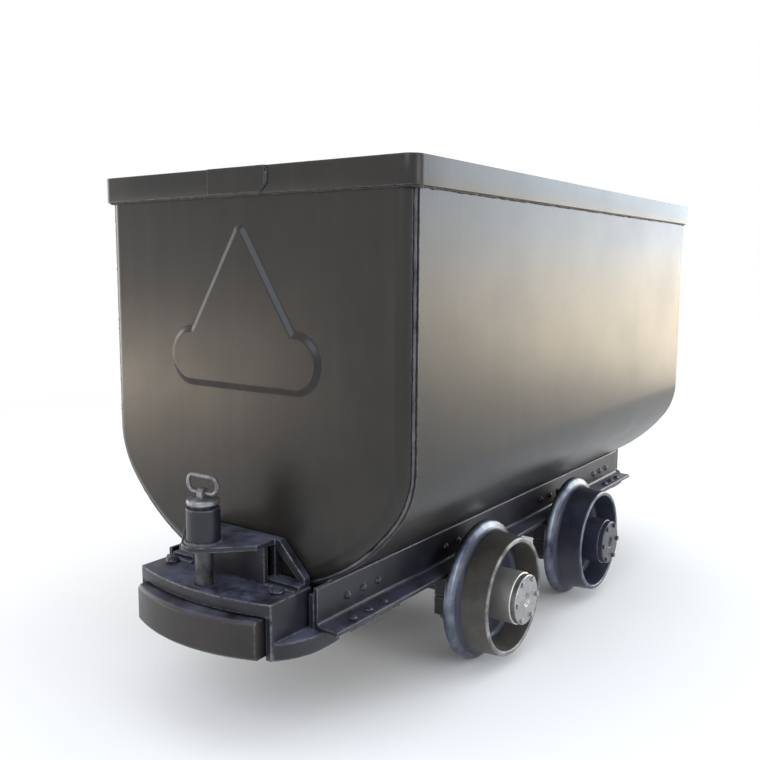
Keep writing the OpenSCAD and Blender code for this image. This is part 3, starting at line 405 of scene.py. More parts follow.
def islands(node):
    """The boxes of a CAD node's separate solids."""
    bm = bmesh.new()
    bm.from_mesh(frame["nodes"][node].data)
    bmesh.ops.remove_doubles(bm, verts=bm.verts[:], dist=TOUCH)
    waiting = set(bm.verts)
    boxes = []
    while waiting:
        reached = [waiting.pop()]
        low = reached[0].co.copy()
        high = low.copy()
        while reached:
            vert = reached.pop()
            low = Vector(map(min, low, vert.co))
            high = Vector(map(max, high, vert.co))
            for edge in vert.link_edges:
                other = edge.other_vert(vert)
                if other in waiting:
                    waiting.discard(other)
                    reached.append(other)
        boxes.append((low, high))
    bm.free()
    return sorted(boxes, key=lambda pair: tuple(round(c, 4) for c in pair[0]))


def body_of(node):
    """The body that a CAD node rides on."""
    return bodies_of(frame["nodes"][node])[0]


def make_piece(bm, name, body, finishes, nodes=(), crease=PLATE_CREASE):
    """Make a mesh into a finished piece that rides on a body."""
    mesh = bpy.data.meshes.new(name)
    bm.to_mesh(mesh)
    bm.free()
    mesh.shade_smooth()
    mesh.set_sharp_from_angle(angle=math.radians(crease))
    for finish in finishes:
        mesh.materials.append(finish)
    piece = bpy.data.objects.new(name, mesh)
    bpy.context.scene.collection.objects.link(piece)
    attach(piece, body)
    if nodes:
        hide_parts(*nodes)
    return piece


def level_shading(piece):
    """Keep flat faces flat beside rounded edges."""
    level = piece.modifiers.new("level_shading", "WEIGHTED_NORMAL")
    level.keep_sharp = True
    level.weight = FLAT_WEIGHT


def give_wall(piece, thickness):
    """Give a skin its wall, inwards."""
    mesh = piece.data
    uses = Counter(key for face in mesh.polygons for key in face.edge_keys)
    for edge in mesh.edges:
        if uses[edge.key] == 1:
            edge.use_edge_sharp = True
    wall = piece.modifiers.new("wall", "SOLIDIFY")
    wall.thickness = thickness
    wall.offset = -1.0
    wall.use_even_offset = True


def eased_piece(node, name, rounding, finish):
    """Make a CAD node's eased copy into the finished piece that takes its place."""
    piece = make_piece(eased_copy(node, rounding), name, body_of(node), [finish], [node])
    level_shading(piece)


def add(tree, kind, sockets=None, **settings):
    """Add a shader node, with values or links for its sockets."""
    made = tree.nodes.new(kind)
    for key, value in settings.items():
        setattr(made, key, value)
    for key, value in (sockets or {}).items():
        if isinstance(value, bpy.types.NodeSocket):
            tree.links.new(value, made.inputs[key])
        else:
            made.inputs[key].default_value = value
    return made


def between(tree, value, low, high, least=0.0, most=1.0):
    """Stretch a value's range to another one."""
    return add(tree, "ShaderNodeMapRange", {"Value": value, "From Min": low, "From Max": high,
                                            "To Min": least, "To Max": most}).outputs["Result"]


def times(tree, one, other):
    """Multiply two values."""
    return add(tree, "ShaderNodeMath", {0: one, 1: other}, operation="MULTIPLY").outputs[0]


def larger(tree, one, other):
    """Take the larger of two values."""
    return add(tree, "ShaderNodeMath", {0: one, 1: other}, operation="MAXIMUM").outputs[0]


def mixed(tree, amount, one, other):
    """Mix two colours."""
    sockets = {0: amount, 6: one, 7: other}
    for key in (6, 7):
        if not isinstance(sockets[key], bpy.types.NodeSocket):
            sockets[key] = (*sockets[key], 1.0)
    return add(tree, "ShaderNodeMix", sockets, data_type="RGBA").outputs[2]


def speckle(tree, place, scale, detail=5.0, rough=0.55, stretch=None):
    """Noise of a size, stretched if asked."""
    if stretch:
        place = add(tree, "ShaderNodeMapping", {"Vector": place, "Scale": stretch}).outputs["Vector"]
    return add(tree, "ShaderNodeTexNoise", {"Vector": place, "Scale": scale, "Detail": detail,
                                            "Roughness": rough}).outputs["Fac"]


def seen_rays(tree):
    """One for rays that show a thing itself, in the picture, in a gloss or through glass."""
    path = add(tree, "ShaderNodeLightPath").outputs
    mirrored = larger(tree, path["Is Camera Ray"], path["Is Glossy Ray"])
    return larger(tree, mirrored, path["Is Transmission Ray"])


# Where film, gloss, runs, dust and painted sheen, chips and turning marks begin and end in their noise.
FILM_PATCH = (0.36, 0.68)
GLOSS_PATCH = (0.3, 0.7)
RUN_PATCH = (0.52, 0.74)
DUST_AND_SHEEN_PATCH = (0.36, 0.66)
CHIP_PATCH = (0.40, 0.58)
MARK_PATCH = (0.35, 0.65)
# Dust, and on the underframe the painted sky sheen, grows from the first height down to the second, and on
# faces that look up by these amounts.
DUST_AND_SHEEN_HEIGHTS = (0.75, 0.15)
LEVEL_FACES = (0.55, 0.95)
# Paint rubs off where the surface bends by these cosines.
WORN_BEND = (0.995, 0.93)
# Runs are drawn out down the wall, and turning marks round the axle.
RUN_STRETCH = (3.0, 3.0, 0.16)
MARK_STRETCH = (0.05, 1.0, 0.05)
GRAIN_DEPTH = 0.002
# Share of the low dust and painted sheen that is left higher up.
HIGH_DUST_AND_SHEEN = 0.35
# Roughness where runs, or dust and painted sheen, cover this share of the surface.
COVERED = 0.5
RUN_ROUGHNESS = 0.75
DUST_AND_SHEEN_ROUGHNESS = 0.8
# Fineness of the gloss's patches, over that of the film's.
GLOSS_FINENESS = 2.7


def make_finish(name, base, film, patch, gloss, metal=0.0, dust=None, low_dust_and_sheen=0.0, level_dust_and_sheen=0.0,
                streaks=0.0, worn=None, wear=0.0, wear_reach=0.004, grain=0.0, grain_size=300.0,
                ior=1.5, turned_marks=0.0):
    """Make a paint, steel or rubber finish with its film, its dust and painted sky sheen, streaks, wear and
    grain.
    """
    if name in bpy.data.materials:
        return bpy.data.materials[name]
    material = bpy.data.materials.new(name)
    material.use_nodes = True
    tree = material.node_tree
    shader = tree.nodes["Principled BSDF"]
    shader.inputs["IOR"].default_value = ior
    coords = add(tree, "ShaderNodeTexCoord")
    place = coords.outputs["Object"]
    cloud = speckle(tree, place, patch)
    colour = mixed(tree, between(tree, cloud, *FILM_PATCH), base, film)
    sheen = between(tree, speckle(tree, place, patch * GLOSS_FINENESS, 6.0, 0.65), *GLOSS_PATCH, *gloss)
    bare = None
    if streaks > 0.0:
        runs = speckle(tree, place, scale=6.0, detail=4.0, rough=0.6, stretch=RUN_STRETCH)
        run_share = between(tree, runs, *RUN_PATCH, 0.0, streaks)
        colour = mixed(tree, run_share, colour, dust)
        sheen = larger(tree, sheen, between(tree, run_share, 0.0, COVERED, gloss[0], RUN_ROUGHNESS))
    # The dust colour lays real dust, and on the underframe the painted sky sheen, on low and level faces.
    if low_dust_and_sheen > 0.0 or level_dust_and_sheen > 0.0:
        height = add(tree, "ShaderNodeSeparateXYZ", {"Vector": place}).outputs["Z"]
        low_share = between(tree, height, *DUST_AND_SHEEN_HEIGHTS, low_dust_and_sheen * HIGH_DUST_AND_SHEEN, low_dust_and_sheen)
        facing = add(tree, "ShaderNodeSeparateXYZ", {"Vector": coords.outputs["Normal"]}).outputs["Z"]
        top_share = between(tree, facing, *LEVEL_FACES, 0.0, level_dust_and_sheen)
        patchy = between(tree, speckle(tree, place, scale=11.0, detail=8.0, rough=0.7), *DUST_AND_SHEEN_PATCH)
        dust_and_sheen_share = times(tree, larger(tree, low_share, top_share), patchy)
        colour = mixed(tree, dust_and_sheen_share, colour, dust)
        sheen = larger(tree, sheen, between(tree, dust_and_sheen_share, 0.0, COVERED, gloss[0], DUST_AND_SHEEN_ROUGHNESS))
    if wear > 0.0:
        soft = add(tree, "ShaderNodeBevel", {"Radius": wear_reach}, samples=4).outputs["Normal"]
        crisp = add(tree, "ShaderNodeNewGeometry").outputs["Normal"]
        bend = add(tree, "ShaderNodeVectorMath", {0: soft, 1: crisp}, operation="DOT_PRODUCT")
        edge = between(tree, bend.outputs["Value"], *WORN_BEND)
        chips = between(tree, speckle(tree, place, scale=70.0, detail=6.0, rough=0.7), *CHIP_PATCH)
        bare = times(tree, times(tree, edge, chips), wear)
        colour = mixed(tree, bare, colour, worn)
    if turned_marks > 0.0:
        marks = speckle(tree, place, scale=260.0, detail=2.0, rough=0.5, stretch=MARK_STRETCH)
        sheen = larger(tree, sheen, between(tree, marks, *MARK_PATCH, gloss[0], gloss[1] + turned_marks))
    tree.links.new(colour, shader.inputs["Base Color"])
    tree.links.new(sheen, shader.inputs["Roughness"])
    if bare is not None and metal == 0.0:
        tree.links.new(bare, shader.inputs["Metallic"])
    else:
        shader.inputs["Metallic"].default_value = metal
    if grain > 0.0:
        fine = speckle(tree, place, grain_size, detail=3.0, rough=0.5)
        bump = add(tree, "ShaderNodeBump", {"Strength": grain, "Distance": GRAIN_DEPTH, "Height": fine})
        tree.links.new(bump.outputs["Normal"], shader.inputs["Normal"])
    return material


def tub_enamel(context):
    """Satin black enamel of the tub, with a brown film, runs and rubbed edges."""
    finish = context.scene.cart_finish
    return make_finish("tub_enamel", finish.tub_black, finish.tub_brown, 2.3, (0.29, 0.35), dust=finish.dust,
                       low_dust_and_sheen=0.05, level_dust_and_sheen=0.15, streaks=0.04, worn=finish.worn_steel, wear=0.35,
                       wear_reach=0.004, grain=0.08, grain_size=240.0, ior=1.42)


def rubbed_and_highlight_enamel(context):
    """Pale grey enamel on the beads of the seams and splices: partly rubbed thin, partly a painted highlight
    where the seams catch the light.
    """
    finish = context.scene.cart_finish
    return make_finish("rubbed_and_highlight_enamel", finish.rubbed_and_highlight_grey, finish.frame_grey, 14.0, (0.30, 0.42),
                       grain=0.10, grain_size=240.0)


def painted_shade_enamel(context):
    """Darker, rougher tub enamel on the pressings' slopes that look down: painted shade for the shade under
    them.
    """
    finish = context.scene.cart_finish
    return make_finish("painted_shade_enamel", finish.down_slope_shade, finish.tub_brown, 9.0, (0.55, 0.75), grain=0.20,
                       grain_size=320.0)


def frame_enamel(context):
    """Blue-black enamel of the underframe, with worn edges and a painted pale-blue sky sheen on its level
    faces.
    """
    finish = context.scene.cart_finish
    return make_finish("frame_enamel", finish.frame_black, finish.frame_grey, 7.0, (0.28, 0.42),
                       dust=finish.painted_sky_sheen, low_dust_and_sheen=0.04, level_dust_and_sheen=0.50, worn=finish.worn_steel, wear=0.80,
                       wear_reach=0.0045, grain=0.06, grain_size=260.0, ior=1.42)


def cast_enamel(context):
    """Enamel over the grainy skin of a casting, with a painted pale-blue sky sheen on its level faces."""
    finish = context.scene.cart_finish
    return make_finish("cast_enamel", finish.frame_black, finish.frame_grey, 9.0, (0.27, 0.42),
                       dust=finish.painted_sky_sheen, low_dust_and_sheen=0.04, level_dust_and_sheen=0.60, worn=finish.worn_steel, wear=0.75,
                       wear_reach=0.006, grain=0.14, grain_size=170.0, ior=1.42)


def head_enamel(context):
    """Brown-black enamel of the buffer heads, rubbed bright along the edges, with a painted pale-blue sky
    sheen on their level faces.
    """
    finish = context.scene.cart_finish
    return make_finish("head_enamel", finish.head_black, finish.head_brown, 6.0, (0.28, 0.42),
                       dust=finish.painted_sky_sheen, low_dust_and_sheen=0.02, level_dust_and_sheen=0.45, worn=finish.worn_steel, wear=0.40,
                       wear_reach=0.005, grain=0.12, grain_size=170.0, ior=1.42)


def wheel_enamel(context):
    """Blue-black enamel of the cast wheels."""
    finish = context.scene.cart_finish
    return make_finish("wheel_enamel", finish.wheel_black, finish.wheel_grey, 12.0, (0.24, 0.42),
                       dust=finish.dust, low_dust_and_sheen=0.10, worn=finish.worn_steel, wear=0.55, wear_reach=0.003,
                       grain=0.25, grain_size=190.0)


def tread_film_and_ground_steel(context):
    """Tread with a dry grey-brown film, partly dust and partly a painted reflection of the ground."""
    finish = context.scene.cart_finish
    return make_finish("tread_film_and_ground_steel", finish.tread_dark, finish.tread_film_and_ground_tint, 16.0, (0.36, 0.55),
                       worn=finish.worn_steel, wear=0.9, wear_reach=0.004, grain=0.15, grain_size=220.0)


def rubbed_rim(context):
    """Steel rubbed bare round the front edge of a rim."""
    finish = context.scene.cart_finish
    return make_finish("rubbed_rim", finish.tread_film_and_ground_tint, finish.worn_steel, 30.0, (0.32, 0.50), metal=0.5,
                       grain=0.15, grain_size=300.0)


def sky_tinted_flange_steel(context):
    """Flange rubbed smooth by the rail, tinted blue as a painted reflection of the sky."""
    finish = context.scene.cart_finish
    return make_finish("sky_tinted_flange_steel", finish.flange_sky_tint, finish.wheel_grey, 18.0, (0.28, 0.40), metal=0.85,
                       grain=0.15, grain_size=260.0)


def cap_steel(context):
    """Dull bare steel of the front hub caps and their bolts."""
    finish = context.scene.cart_finish
    return make_finish("cap_steel", finish.cap_grey, finish.hub_dark, 34.0, (0.24, 0.40), metal=0.9,
                       worn=finish.bare_steel, wear=0.7, wear_reach=0.0025, grain=0.10, grain_size=400.0)


def hub_steel(context):
    """Turned bare steel of the hubs."""
    finish = context.scene.cart_finish
    return make_finish("hub_steel", finish.hub_grey, finish.hub_dark, 26.0, (0.17, 0.30), metal=0.85,
                       dust=finish.dust, low_dust_and_sheen=0.05, grain=0.05, grain_size=500.0, turned_marks=0.12)


def ring_steel(context):
    """Bare drawn bar."""
    finish = context.scene.cart_finish
    return make_finish("ring_steel", finish.worn_steel, finish.dull_steel, 40.0, (0.30, 0.50), metal=0.8,
                       grain=0.08, grain_size=420.0)


def dull_steel(context):
    """Dark steel of pins, bolts and rivets."""
    finish = context.scene.cart_finish
    return make_finish("dull_steel", finish.dull_steel, finish.frame_grey, 25.0, (0.30, 0.52), metal=0.8,
                       worn=finish.bare_steel, wear=0.8, wear_reach=0.002, grain=0.1, grain_size=300.0)


def bearing_steel(context):
    """Oiled bearing steel."""
    finish = context.scene.cart_finish
    return make_finish("bearing_steel", finish.bare_steel, finish.dull_steel, 60.0, (0.18, 0.30), metal=1.0)


def buffer_rubber(context):
    """Matt black rubber."""
    finish = context.scene.cart_finish
    return make_finish("buffer_rubber", finish.rubber, finish.frame_grey, 14.0, (0.62, 0.82),
                       dust=finish.dust, low_dust_and_sheen=0.12, grain=0.2, grain_size=350.0)


def weld_enamel(context):
    """Enamel over rough weld metal."""
    finish = context.scene.cart_finish
    return make_finish("weld_enamel", finish.tub_black, finish.frame_grey, 40.0, (0.42, 0.70),
                       dust=finish.dust, low_dust_and_sheen=0.12, grain=0.4, grain_size=420.0)


def flaked_and_highlight_weld(context):
    """Pale weld metal: partly where the paint has flaked off, partly painted highlights on the welds."""
    finish = context.scene.cart_finish
    return make_finish("flaked_and_highlight_weld", finish.rubbed_and_highlight_grey, finish.frame_grey, 55.0, (0.32, 0.55),
                       grain=0.4, grain_size=420.0)


def tub_way(tub, wall_steps, bend_steps, floor_steps):
    """The way round the tub, from the left rim down, over the floor and up to the right rim."""
    bend_y = TUB_HALF - tub.bend_radius
    floor_radius = tub.bend_radius + bend_y / math.cos(tub.bend_turn)
    floor_z = TUB_BOTTOM + floor_radius
    bend_z = floor_z - (floor_radius - tub.bend_radius) * math.sin(tub.bend_turn)
    wall = Vector((0, 0, bend_z - RIM_TOP))
    return [
        ("line", wall, wall_steps),
        ("turn", (0, -bend_y, bend_z), X_AXIS, tub.bend_turn, bend_steps),
        ("turn", (0, 0, floor_z), X_AXIS, HALF_TURN - 2 * tub.bend_turn, floor_steps),
        ("turn", (0, bend_y, bend_z), X_AXIS, tub.bend_turn, bend_steps),
        ("line", -wall, wall_steps),
    ]


class CART_OT_trough(bpy.types.Operator):
    """Bend the sheet of the tub's two sides and floor"""

    bl_idname = "cart.trough"
    bl_label = "Trough"

    # Fineness of the sheet's long and short waves, and the short one's share.
    LONG_WAVE = 3.1
    SHORT_WAVE = 7.3
    SHORT_SHARE = 0.5

    def execute(self, context):
        tub = context.scene.cart_tub
        bm = bmesh.new()
        bm.verts.new((-SEAM_X, -TUB_HALF, RIM_TOP))
        sweep(bm, bm.verts[:], [("line", (2 * SEAM_X, 0, 0), 48)])
        sweep(bm, bm.verts[:] + bm.edges[:], tub_way(tub, 18, 12, 30))
        bmesh.ops.remove_doubles(bm, verts=bm.verts[:], dist=MERGE)
        point_outwards(bm, INSIDE_TUB)
        bm.normal_update()
        for vert in bm.verts:
            to_seam = (SEAM_X - abs(vert.co.x)) / tub.dent_fade
            to_rim = (RIM_TOP - tub.rim_stiff - vert.co.z) / tub.dent_fade
            free = max(0.0, min(1.0, to_seam, to_rim))
            wave = noise.noise(vert.co * self.LONG_WAVE)
            wave += self.SHORT_SHARE * noise.noise(vert.co * self.SHORT_WAVE)
            vert.co += vert.normal * wave * tub.dent * free
        piece = make_piece(bm, "trough_skin", CAR, [tub_enamel(context)], ["trough_sheet"])
        give_wall(piece, tub.sheet)
        return {"FINISHED"}


def pressing_outline(bm, tub, x):
    """Edges of the pressing's outline on an end plate."""
    low_z = RIM_TOP - tub.pressing_drop
    point_z = RIM_TOP - tub.pressing_point_drop
    foot_z = low_z + tub.pressing_radius / 2
    slope = tub.pressing_foot_half / (point_z - foot_z)
    shoulder_z = low_z + tub.pressing_radius
    shoulder = (point_z - shoulder_z) * slope
    half_angle = math.atan(slope)
    tip_z = point_z - tub.pressing_tip / math.sin(half_angle)
    side_y = tub.pressing_tip * math.cos(half_angle)
    side_z = tip_z + tub.pressing_tip * math.sin(half_angle)
    start = bm.verts.new((x, 0, tip_z + tub.pressing_tip))
    way = [
        ("turn", (x, 0, tip_z), X_AXIS, half_angle - QUARTER_TURN, 5),
        ("line", (0, shoulder - side_y, shoulder_z - side_z), 6),
        ("line", (0, tub.pressing_half - shoulder, 0), 1),
        ("turn", (x, tub.pressing_half, low_z), X_AXIS, -HALF_TURN, 16),
        ("line", (0, -tub.pressing_half, 0), 4),
    ]
    before = set(bm.edges)
    sweep(bm, [start], way)
    half = [edge for edge in bm.edges if edge not in before]
    verts = list({vert for edge in half for vert in edge.verts})
    bmesh.ops.mirror(bm, geom=verts + half, axis="Y", merge_dist=TOUCH)
    return [edge for edge in bm.edges if edge not in before]


class CART_OT_end_plates(bpy.types.Operator):
    """Press the two end plates with their rolled edges and raised pressings"""

    bl_idname = "cart.end_plates"
    bl_label = "End plates"

    # Width and rise of each ring of the pressing's soft border, as shares of the whole.
    BORDER = ((0.12, 0.05), (0.12, 0.12), (0.26, 0.33), (0.26, 0.33), (0.12, 0.12), (0.12, 0.05))
    # Slopes that look down by this much take the darker enamel, as painted shade.
    LOOKS_DOWN = -0.15

    def execute(self, context):
        tub = context.scene.cart_tub
        for end, sign in ENDS.items():
            bm = bmesh.new()
            face_x = sign * (SEAM_X + tub.lap_in)
            roll_x = face_x - sign * tub.edge_radius
            outer_y = tub.sheet + tub.seat_gap - TUB_HALF
            bm.verts.new((roll_x - sign * tub.lap_length, outer_y, RIM_TOP))
            sweep(bm, bm.verts[:], [
                ("line", (sign * tub.lap_length, 0, 0), 2),
                ("turn", (roll_x, outer_y + tub.edge_radius, RIM_TOP), Z_AXIS, sign * QUARTER_TURN, 10)])
            sweep(bm, bm.verts[:] + bm.edges[:], tub_way(tub, 8, 12, 32))
            bmesh.ops.remove_doubles(bm, verts=bm.verts[:], dist=MERGE)
            rim = [edge for edge in bm.edges
                   if all(abs(vert.co.x - face_x) < TOUCH for vert in edge.verts)]
            tops = sorted({vert for edge in rim for vert in edge.verts if RIM_TOP - vert.co.z < TOUCH},
                          key=lambda vert: vert.co.y)
            rim.append(bm.edges.new((tops[0], tops[-1])))
            pressing = pressing_outline(bm, tub, face_x)
            bmesh.ops.triangle_fill(bm, use_beauty=True, use_dissolve=False, edges=rim + pressing)
            raised = bmesh.ops.edgeloop_fill(bm, edges=pressing)["faces"]
            point_outwards(bm, Vector((0, 0, INSIDE_TUB.z)))
            for width, rise in self.BORDER:
                made = bmesh.ops.inset_region(bm, faces=raised, thickness=width * tub.pressing_border,
                                              depth=rise * tub.pressing_height, use_boundary=True,
                                              use_even_offset=True)
                bm.normal_update()
                # Down-facing border rings get the second finish, a painted shade.
                for slope in made["faces"]:
                    if slope.normal.z < self.LOOKS_DOWN:
                        slope.material_index = 1
            finishes = [tub_enamel(context), painted_shade_enamel(context)]
            name = f"{end}_end_pressing"
            piece = make_piece(bm, name, CAR, finishes, [f"{end}_end_plate"], ROUND_CREASE)
            give_wall(piece, tub.sheet)
            level_shading(piece)
        return {"FINISHED"}


class CART_OT_rim(bpy.types.Operator):
    """Bend the rim bands round the tub's top edge and lay the splice plates over their joints"""

    bl_idname = "cart.rim"
    bl_label = "Rim"

    def execute(self, context):
        tub = context.scene.cart_tub
        finish = tub_enamel(context)
        for side, sign in SIDES.items():
            low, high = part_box(f"{side}_rim_band")
            outer = high.x
            inner = outer - tub.band_thick
            joint_y = min(abs(low.y), abs(high.y)) * sign
            bend_y = (TUB_HALF - tub.lap_in) * sign
            run = bend_y - joint_y
            bm = bmesh.new()
            ease = tub.band_thick / 5
            outline_face(bm, [corner(co, ease, 3) for co in (
                (inner, joint_y, low.z), (outer, joint_y, low.z),
                (outer, joint_y, high.z), (inner, joint_y, high.z))])
            sweep(bm, whole(bm), [
                ("line", (0, run, 0), 4),
                ("turn", (SEAM_X, bend_y, 0), Z_AXIS, sign * QUARTER_TURN, 10),
                ("line", (-2 * SEAM_X, 0, 0), 16),
                ("turn", (-SEAM_X, bend_y, 0), Z_AXIS, sign * QUARTER_TURN, 10),
                ("line", (0, -run, 0), 4),
            ])
            close_up(bm)
            make_piece(bm, f"{side}_rim_bar", CAR, [finish], [f"{side}_rim_band"], ROUND_CREASE)
        for end in ENDS:
            eased_piece(f"{end}_rim_splice", f"{end}_splice_plate", tub.band_thick / 6, finish)
        return {"FINISHED"}


class CART_OT_tub_welds(bpy.types.Operator):
    """Lay the weld beads along the tub's seams, under the rim band and at the splices"""

    bl_idname = "cart.tub_welds"
    bl_label = "Tub welds"

    # Seeds of the beads, and the rim bead's size over that of the others.
    SEAM_SEED = 3.0
    SPLICE_SEED = 7.0
    RIM_SEED = 11.0
    RIM_BEAD = 1.2

    def execute(self, context):
        tub = context.scene.cart_tub
        finish = weld_enamel(context)
        # The seam and splice beads take the pale enamel, partly a painted highlight.
        rubbed = rubbed_and_highlight_enamel(context)
        for end, sign in ENDS.items():
            low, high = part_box(f"{end}_rim_splice")
            tucked = tub.bead / 2
            seam_top = Vector((sign * (SEAM_X + tucked), tub.sheet + tucked - TUB_HALF, RIM_TOP))
            bm = bead(seam_top, -Z_AXIS, tub_way(tub, 150, 40, 180), tub.bead, self.SEAM_SEED + sign)
            outer_x = sign * (abs(high.x) if sign > 0 else abs(low.x))
            root_x = outer_x - sign * (high.x - low.x)
            cut = (high.y - low.y) / 10
            drop = high.z - low.z - tub.bead
            for y in (low.y, high.y):
                start = Vector((root_x, y, high.z - tub.bead))
                way = [("line", (0, 0, -drop), 18)]
                if y * sign > 0.0:
                    way = [("line", (0, 0, cut - drop), 13), ("line", (0, -sign * cut, -cut), 7)]
                join(bm, bead(start, -Z_AXIS, way, tub.bead, self.SPLICE_SEED + y))
            make_piece(bm, f"{end}_tub_weld", CAR, [rubbed], (), BEAD_CREASE)
        for side, sign in SIDES.items():
            low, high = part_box(f"{side}_rim_band")
            bend_y = (TUB_HALF - tub.lap_in) * sign
            run = Vector((0, bend_y, 0))
            start = Vector((SEAM_X + tub.lap_in, 0, low.z))
            bm = bead(start, Y_AXIS * sign, [
                ("line", run, 90),
                ("turn", (SEAM_X, bend_y, 0), Z_AXIS, sign * QUARTER_TURN, 14),
                ("line", (-2 * SEAM_X, 0, 0), 360),
                ("turn", (-SEAM_X, bend_y, 0), Z_AXIS, sign * QUARTER_TURN, 14),
                ("line", -run, 90),
            ], tub.bead * self.RIM_BEAD, self.RIM_SEED + sign)
            make_piece(bm, f"{side}_rim_weld", CAR, [finish], (), BEAD_CREASE)
        return {"FINISHED"}


class CART_OT_sills(bpy.types.Operator):
    """Roll the two sills with their outward feet"""

    bl_idname = "cart.sills"
    bl_label = "Sills"

    # Fineness of a sill's waves.
    WAVE = 5.0

    def execute(self, context):
        settings = context.scene.cart_underframe
        for side, sign in SIDES.items():
            low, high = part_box(f"{side}_sill")
            web_in = min(abs(low.y), abs(high.y))
            foot_edge = max(abs(low.y), abs(high.y))
            web_out = web_in + settings.web_thick
            foot_top = low.z + settings.foot_thick
            heel = settings.plate_round
            bm = bmesh.new()
            outline_face(bm, [corner((low.x, sign * y, z), r, n) for y, z, r, n in (
                (web_in, low.z, heel, 2), (foot_edge, low.z, heel, 2),
                (foot_edge, foot_top, settings.toe_round, 4), (web_out, foot_top, settings.root_fillet, 5),
                (web_out, high.z, settings.toe_round, 4), (web_in, high.z, heel, 2))])
            sweep(bm, whole(bm), [("line", (high.x - low.x, 0, 0), 24)])
            close_up(bm)
            between_ends = [vert for vert in bm.verts if low.x < vert.co.x < high.x]
            roughen(bm, between_ends, settings.sill_wave, self.WAVE, sign)
            piece = make_piece(bm, f"{side}_rolled_sill", CAR, [frame_enamel(context)], [f"{side}_sill"])
            level_shading(piece)
        return {"FINISHED"}


class CART_OT_rivets(bpy.types.Operator):
    """Set the domed rivets of the sills"""

    bl_idname = "cart.rivets"
    bl_label = "Rivets"

    # Shares of a head's radius and height that shape its dome.
    CROWN = 0.55
    CROWN_ROUND = 0.6
    RIM_ROUND = 0.1
    MOST_RISE = 0.4

    def execute(self, context):
        settings = context.scene.cart_underframe
        bm = bmesh.new()
        for low, high in islands("sill_rivets"):
            extent = high - low
            long_way = max(range(3), key=lambda i: extent[i])
            across = min(extent[i] for i in range(3) if i != long_way) / 2
            axis = (X_AXIS, Y_AXIS, Z_AXIS)[long_way]
            half = extent[long_way] / 2
            rise = min(settings.rivet_rise, half * self.MOST_RISE)
            crown = across * self.CROWN
            head = ((0.0, half, 0, 1), (crown, half, crown * self.CROWN_ROUND, 4),
                    (across, half - rise, rise * self.RIM_ROUND, 1))
            shank = ((settings.rivet_shank, half - rise, 0, 1), (settings.rivet_shank, rise - half, 0, 1))
            foot = [(r, -h, e, n) for r, h, e, n in reversed(head)]
            join(bm, turned([*head, *shank, *foot], 20, (low + high) / 2, axis))
        make_piece(bm, "domed_rivets", CAR, [frame_enamel(context)], ["sill_rivets"], ROUND_CREASE)
        return {"FINISHED"}


class CART_OT_axle_seats(bpy.types.Operator):
    """Ease the edges of the saddles, axle seats, keepers and seat bolts"""

    bl_idname = "cart.axle_seats"
    bl_label = "Saddles and axle seats"

    # Rounding of these small castings, over that of the large ones.
    SMALL_CAST = 0.7

    def execute(self, context):
        settings = context.scene.cart_underframe
        small = settings.cast_round * self.SMALL_CAST
        plate = frame_enamel(context)
        cast = cast_enamel(context)
        for end in ENDS:
            eased_piece(f"{end}_saddle", f"{end}_saddle_plate", settings.plate_round, plate)
            for side in SIDES:
                seat = f"{end}_{side}_axle_seat"
                eased_piece(seat, f"{end}_{side}_seat_block", small, cast)
        eased_piece("axle_keepers", "keeper_blocks", small, cast)
        eased_piece("seat_bolts", "hex_seat_bolts", settings.bolt_round, dull_steel(context))
        return {"FINISHED"}


